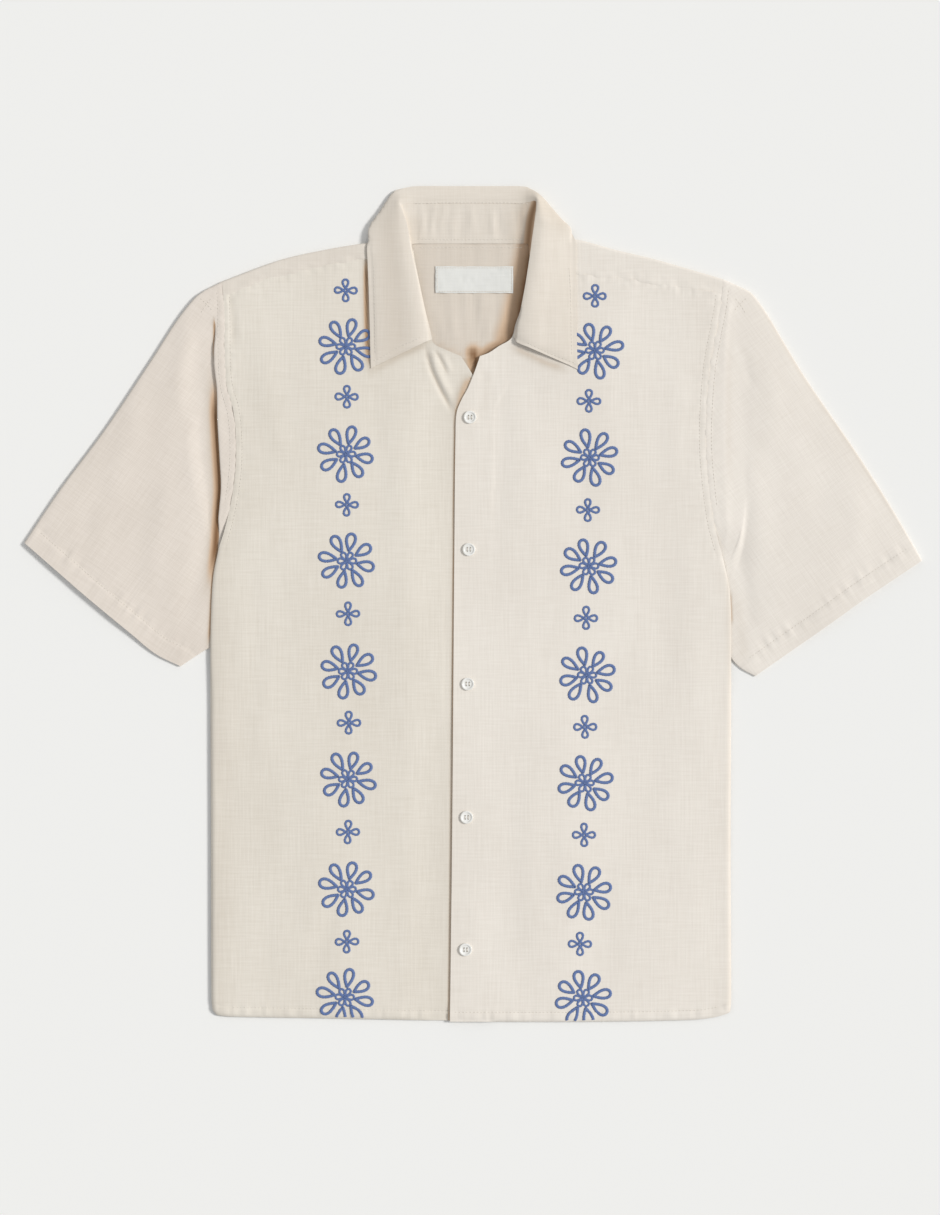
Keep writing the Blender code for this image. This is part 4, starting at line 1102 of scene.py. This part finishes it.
def sewSide(side):
    front, sleeve, armhole = fronts[side], sleeves[side], armholeLines[side]
    inside, corner, strands = inward[side], seamFractions["frontShoulder"], []
    top = TopOf(f"front_{side}")
    sewRow(top, offsetPath(armhole, seamRows["armhole"] * inside, corner, 0.97), strands, 1)
    sewRow(top, offsetPath(shoulderSeam(side), -seamRows["shoulder"] * inside), strands, 2)
    sewRow(top, offsetPath(Line(front["hem"]), -seamRows["hem"] * inside, 0.01, 0.97), strands, 3)
    sewRow(top, offsetPath(Line(front["neckline"]), -seamRows["neck"] * inside, 0.05, 0.5), strands, 6)
    cordMesh(f"frontStitches_{side}", strands, sewingThread)
    strands = []
    top = TopOf(f"sleeve_{side}")
    sewRow(top, offsetPath(Line(sleeve["cuff"]), seamRows["cuff"] * inside, 0.02, 0.98), strands, 4)
    sewRow(top, offsetPath(armhole, -seamRows["armhole"] * inside, 0.03, 0.82), strands, 5)
    for number, cross in enumerate(tackCross):
        sewRow(top, [(-inside * a, b) for a, b in cross], strands, 7 + number)
    cordMesh(f"sleeveStitches_{side}", strands, sewingThread)


neckRows = [
    # pieces, path, the row's distance from it, and the share left out at each end
    (("collar", "stand"), [(-54, 360), (-30, 361), (0, 361), (30, 361), (50, 360)], 0.0, 0.0),
    (("collar", "stand"), [(-52, 328.5), (-25, 328), (0, 328), (25, 328), (47, 328.5)], 0.0, 0.0),
    (("yoke", "back"), [(-50, 321), (-25, 321), (0, 321), (25, 321), (44, 321)], 0.0, 0.0),
    (("collar", "stand"), [(-92, 212), (-79.8, 217.7), (-63.7, 226.7), (-50.9, 232.1), (-41.9, 237.1)],
     5.0, 0.05),
    (("collar", "stand"), [(93.8, 210.5), (69.7, 219.5), (53.6, 226.7), (41, 233)], -5.0, 0.05),
    (("collar", "stand"), [(-93, 224), (-93.5, 250), (-94, 282), (-94, 305)], -5.0, 0.0),
    (("collar", "stand"), [(93.5, 223), (93, 247), (92.5, 279), (91, 304)], 5.0, 0.0),
]


def sewNeck():
    strands = []
    tops = {names: TopOf(*names) for names in dict.fromkeys(row[0] for row in neckRows)}
    for number, (names, path, offset, spare) in enumerate(neckRows):
        row = offsetPath(Line(path), offset, spare, 1 - spare) if offset else path
        sewRow(tops[names], row, strands, 20 + number)
    cordMesh("collarStitches", strands, sewingThread)
    strands = []
    wide, high = label["wide"] / 2 - label["row"], label["high"] / 2 - label["row"]
    cx, cy = label["centre"]
    frameOf = [(-wide, -high), (wide, -high), (wide, high), (-wide, high), (-wide, -high)]
    sewRow(TopOf("label"), [(cx + a, cy + b) for a, b in frameOf], strands, 27, label["pitch"])
    cordMesh("labelStitches", strands, sewingThread)


for side in fronts:
    sewSide(side)
sewNeck()
print("stitches sewn")


# embroidery

embroidery = {
    "large": {"loops": 8, "inner": 9.4, "outer": 24.9, "wide": 7.9, "thin": 1.0},
    "rosette": {"loops": 6, "inner": 1.0, "outer": 8.3, "wide": 4.4, "thin": 0.76},
    "small": {"loops": 4, "inner": 2.0, "outer": 9.9, "wide": 5.2, "thin": 0.8},
    "ring": {"loops": 1, "inner": -1.7, "outer": 1.7, "wide": 3.6, "thin": 0.8},
    "cord": 1.46, "high": 0.8, "link": 2.3, "step": 0.85, "sink": 0.05,
    # centres of the flowers, in pixels of the photograph
    "left": {
        "large": [(346, 346.5), (346, 454), (347, 561), (348, 671), (348, 779), (347, 889), (345, 997)],
        "small": [(345.6, 290.5), (347, 396.8), (347, 504.8), (348, 613.8), (349, 722.8), (348, 832),
                  (347, 941.6)],
        "turn": 32.0, "seed": 7,
    },
    "right": {
        "large": [(595, 350.5), (590, 457.7), (589, 566), (587, 675), (585, 783), (584, 892), (583, 998)],
        "small": [(595, 296), (589, 401), (588, 510), (586, 618), (585, 727), (584, 835), (580, 944)],
        "turn": 13.0, "seed": 8,
    },
}


def teardrop(inner, outer, wide, count):  # a loop from its point at the inner end round its blunt outer end
    a = np.linspace(0, 2 * np.pi, count, endpoint=False)
    along = (1 - np.cos(a)) / 2
    across = np.sin(a) * np.sin(a / 2) ** 1.15 * wide / 1.5
    return np.stack([inner + along * (outer - inner), across], -1)


def flower(centre, kind, turn, rng):
    shape = embroidery[kind]
    paths = []
    for i in range(shape["loops"]):
        angle = math.radians(turn + i * 360 / shape["loops"] + rng.uniform(-2.5, 2.5))
        stretch = rng.uniform(0.96, 1.03)
        length = 2.3 * (shape["outer"] - shape["inner"]) + 1.2 * shape["wide"]
        loop = teardrop(shape["inner"], shape["outer"] * stretch, shape["wide"] * rng.uniform(0.93, 1.05),
                        max(18, int(length / embroidery["step"])))
        turned = np.stack([loop[:, 0] * math.cos(angle) - loop[:, 1] * math.sin(angle),
                           loop[:, 0] * math.sin(angle) + loop[:, 1] * math.cos(angle)], -1)
        paths.append(turned + centre)
    return paths


def runsOf(kept):  # the stretches of a loop that the hem leaves, each to be its own cord
    if all(kept):
        return [list(range(len(kept)))]
    first, runs = kept.index(False), [[]]
    for step in range(len(kept)):
        i = (first + step) % len(kept)
        if kept[i]:
            runs[-1].append(i)
        elif runs[-1]:
            runs.append([])
    return [run for run in runs if len(run) >= 3]


def makeBand(side):
    band, top = embroidery[side], TopOf(f"front_{side}")
    hem = Line(fronts[side]["hem"])
    rng = random.Random(band["seed"])
    strands = []
    flowers = [(p, "large", band["turn"]) for p in band["large"]]
    flowers += [(p, "rosette", 0.0) for p in band["large"]]
    flowers += [(p, "small", 0.0) for p in band["small"]]
    flowers += [(p, "ring", 0.0) for p in band["small"]]
    for (px, py), kind, turn in flowers:
        centre = np.array([px - photo["middle"][0], photo["middle"][1] - py]) * photo["mmPerPixel"]
        thin = embroidery[kind]["thin"]
        for path in flower(centre, kind, turn, rng):
            heights = [top.at(x, y) if y > float(hem.yAt(x)) + 1.0 else None for x, y in path]
            kept = [h is not None for h in heights]
            for run in runsOf(kept):
                points = [(path[i][0], path[i][1], heights[i] - embroidery["sink"]) for i in run]
                walked = np.arange(len(run)) * embroidery["step"]
                beat = np.abs(np.sin(np.pi * walked / embroidery["link"] + rng.uniform(0, 3)))
                halves = embroidery["cord"] * thin * (0.84 + 0.22 * beat)
                highs = embroidery["high"] * thin * (0.8 + 0.3 * beat)
                strands.append((points, halves, highs, all(kept)))
    cordMesh(f"embroidery_{side}", strands, blueThread)


for side in fronts:
    makeBand(side)
print("flowers embroidered")


# buttons

buttons = {
    "centres": [(-3, 168), (-4, 49), (-5, -72), (-6, -192), (-7, -311)],
    "wide": 11.5, "thick": 1.8, "hole": 1.5, "pitch": 2.7,
    "rim": 1.35, "slope": 0.45, "dish": 0.6, "rounding": 0.32,
    "thread": 0.24, "apart": 0.22,
}


def pearlyResin():
    material, tree, shader = newMaterial("pearlyResin")
    shader.inputs["Roughness"].default_value = 0.28
    shader.inputs["Coat Weight"].default_value = 0.3
    shader.inputs["Coat Roughness"].default_value = 0.15
    place = tree.nodes.new("ShaderNodeTexCoord").outputs["Object"]
    cloud = noiseNode(tree, place, 260.0, (1.0, 1.0, 1.0), 4.0)
    resin = rampNode(tree, cloud, (0.35, (0.80, 0.79, 0.75)), (0.65, (0.93, 0.925, 0.90)))
    linkTo(tree, resin, shader.inputs["Base Color"])
    return material


def modelButton(material):
    bpy.ops.mesh.primitive_cylinder_add(vertices=48, radius=buttons["wide"] / 2 * mm,
                                        depth=buttons["thick"] * mm)
    button = bpy.context.object
    bpy.ops.object.mode_set(mode='EDIT')
    bpy.ops.mesh.select_all(action='DESELECT')
    bpy.ops.object.mode_set(mode='OBJECT')
    for face in button.data.polygons:
        face.select = face.normal.z > 0.9
    bpy.ops.object.mode_set(mode='EDIT')
    bpy.ops.mesh.select_mode(type='FACE')
    bpy.ops.mesh.inset(thickness=buttons["rim"] * mm)
    bpy.ops.mesh.inset(thickness=buttons["slope"] * mm, depth=-buttons["dish"] * mm)
    bpy.ops.object.mode_set(mode='OBJECT')
    rounding = button.modifiers.new("Turned edges", 'BEVEL')
    rounding.width = buttons["rounding"] * mm
    rounding.segments = 3
    rounding.limit_method = 'ANGLE'
    rounding.angle_limit = math.radians(35)
    bpy.ops.object.modifier_apply(modifier=rounding.name)
    half = buttons["pitch"] / 2 * mm
    for right, up in ((1, 1), (-1, 1), (-1, -1), (1, -1)):
        bpy.ops.mesh.primitive_cylinder_add(vertices=16, radius=buttons["hole"] / 2 * mm, depth=0.01,
                                            location=(right * half, up * half, 0))
        drill = bpy.context.object
        bpy.context.view_layer.objects.active = button
        hole = button.modifiers.new("Sewing hole", 'BOOLEAN')
        hole.operation = 'DIFFERENCE'
        hole.object = drill
        bpy.ops.object.modifier_apply(modifier=hole.name)
        bpy.data.objects.remove(drill, do_unlink=True)
    button.data.materials.clear()
    button.data.materials.append(material)
    button.data.shade_smooth()
    button.data.set_sharp_from_angle(angle=math.radians(38))
    return button


def makeButtons():
    made, strands = [modelButton(pearlyResin())], []
    for _ in buttons["centres"][1:]:
        button = made[0].copy()
        button.data = made[0].data.copy()
        bpy.context.scene.collection.objects.link(button)
        made.append(button)
    top, half, apart = TopOf("front_right"), buttons["pitch"] / 2, buttons["apart"]
    around = [(math.cos(i), math.sin(i)) for i in range(6)]
    for number, (button, (x, y)) in enumerate(zip(made, buttons["centres"]), start=1):
        button.name = f"shirtButton_{number}"
        seat = max(top.at(x + 5 * a, y + 5 * b) for a, b in around) - 0.1
        for vertex in button.data.vertices:
            vertex.co += Vector((x, y, seat + buttons["thick"] / 2)) * mm
        button.data.update()
        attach(button, "root")
        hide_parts(f"button_{number}")
        z = seat + buttons["thick"] - 0.75
        bridge = ((1.05, z - 0.8), (1.0, z), (0.5, z + 0.22), (-0.5, z + 0.22), (-1.0, z), (-1.05, z - 0.8))
        for across in (-half - apart, -half + apart, half - apart, half + apart):
            points = [(x + across, y + half * s, high) for s, high in bridge]
            strands.append((points, [buttons["thread"]] * 6, [buttons["thread"]] * 6, False))
    cordMesh("buttonThread", strands, sewingThread)


makeButtons()
print("buttons sewn on")

# studio

studio = {
    "floor": 8.0, "floorTone": (0.905, 0.905, 0.892),
    "sky": 0.508, "skyTone": (0.98, 0.99, 1.0),
    "sun": 2.32, "sunTone": (1.0, 0.985, 0.96), "height": 38.0, "round": 12.0, "spread": 14.0,
    "lens": 100.0, "sensor": 36.0, "over": (-0.00297, -0.00324), "lift": 0.004,
}


def makeStudio():
    bpy.ops.mesh.primitive_plane_add(size=studio["floor"], location=(0, 0, 0))
    floor = bpy.context.object
    floor.name = "paleFloor"
    paint, _, shader = newMaterial("paleFloorPaint")
    shader.inputs["Base Color"].default_value = (*studio["floorTone"], 1)
    shader.inputs["Roughness"].default_value = 0.95
    shader.inputs["Specular IOR Level"].default_value = 0.1
    floor.data.materials.append(paint)
    scene = bpy.context.scene
    scene.world = bpy.data.worlds.new("softRoom")
    scene.world.use_nodes = True
    sky = scene.world.node_tree.nodes["Background"]
    sky.inputs["Color"].default_value = (*studio["skyTone"], 1)
    sky.inputs["Strength"].default_value = studio["sky"]
    light = bpy.data.lights.new("windowSide", 'SUN')
    light.energy = studio["sun"]
    light.angle = math.radians(studio["spread"])
    light.color = studio["sunTone"]
    key = bpy.data.objects.new("windowSide", light)
    key.location = (2.0, 0.5, 1.6)
    key.rotation_euler = (0, math.radians(90 - studio["height"]), math.radians(studio["round"]))
    scene.collection.objects.link(key)
    lens = bpy.data.cameras.new("overhead")
    lens.lens, lens.sensor_width = studio["lens"], studio["sensor"]
    camera = bpy.data.objects.new("overhead", lens)
    high = photo["high"] * photo["mmPerPixel"] * mm * studio["lens"] / studio["sensor"]
    camera.location = (*studio["over"], high + studio["lift"])
    scene.collection.objects.link(camera)
    scene.camera = camera
    scene.view_settings.view_transform = 'Standard'


makeStudio()
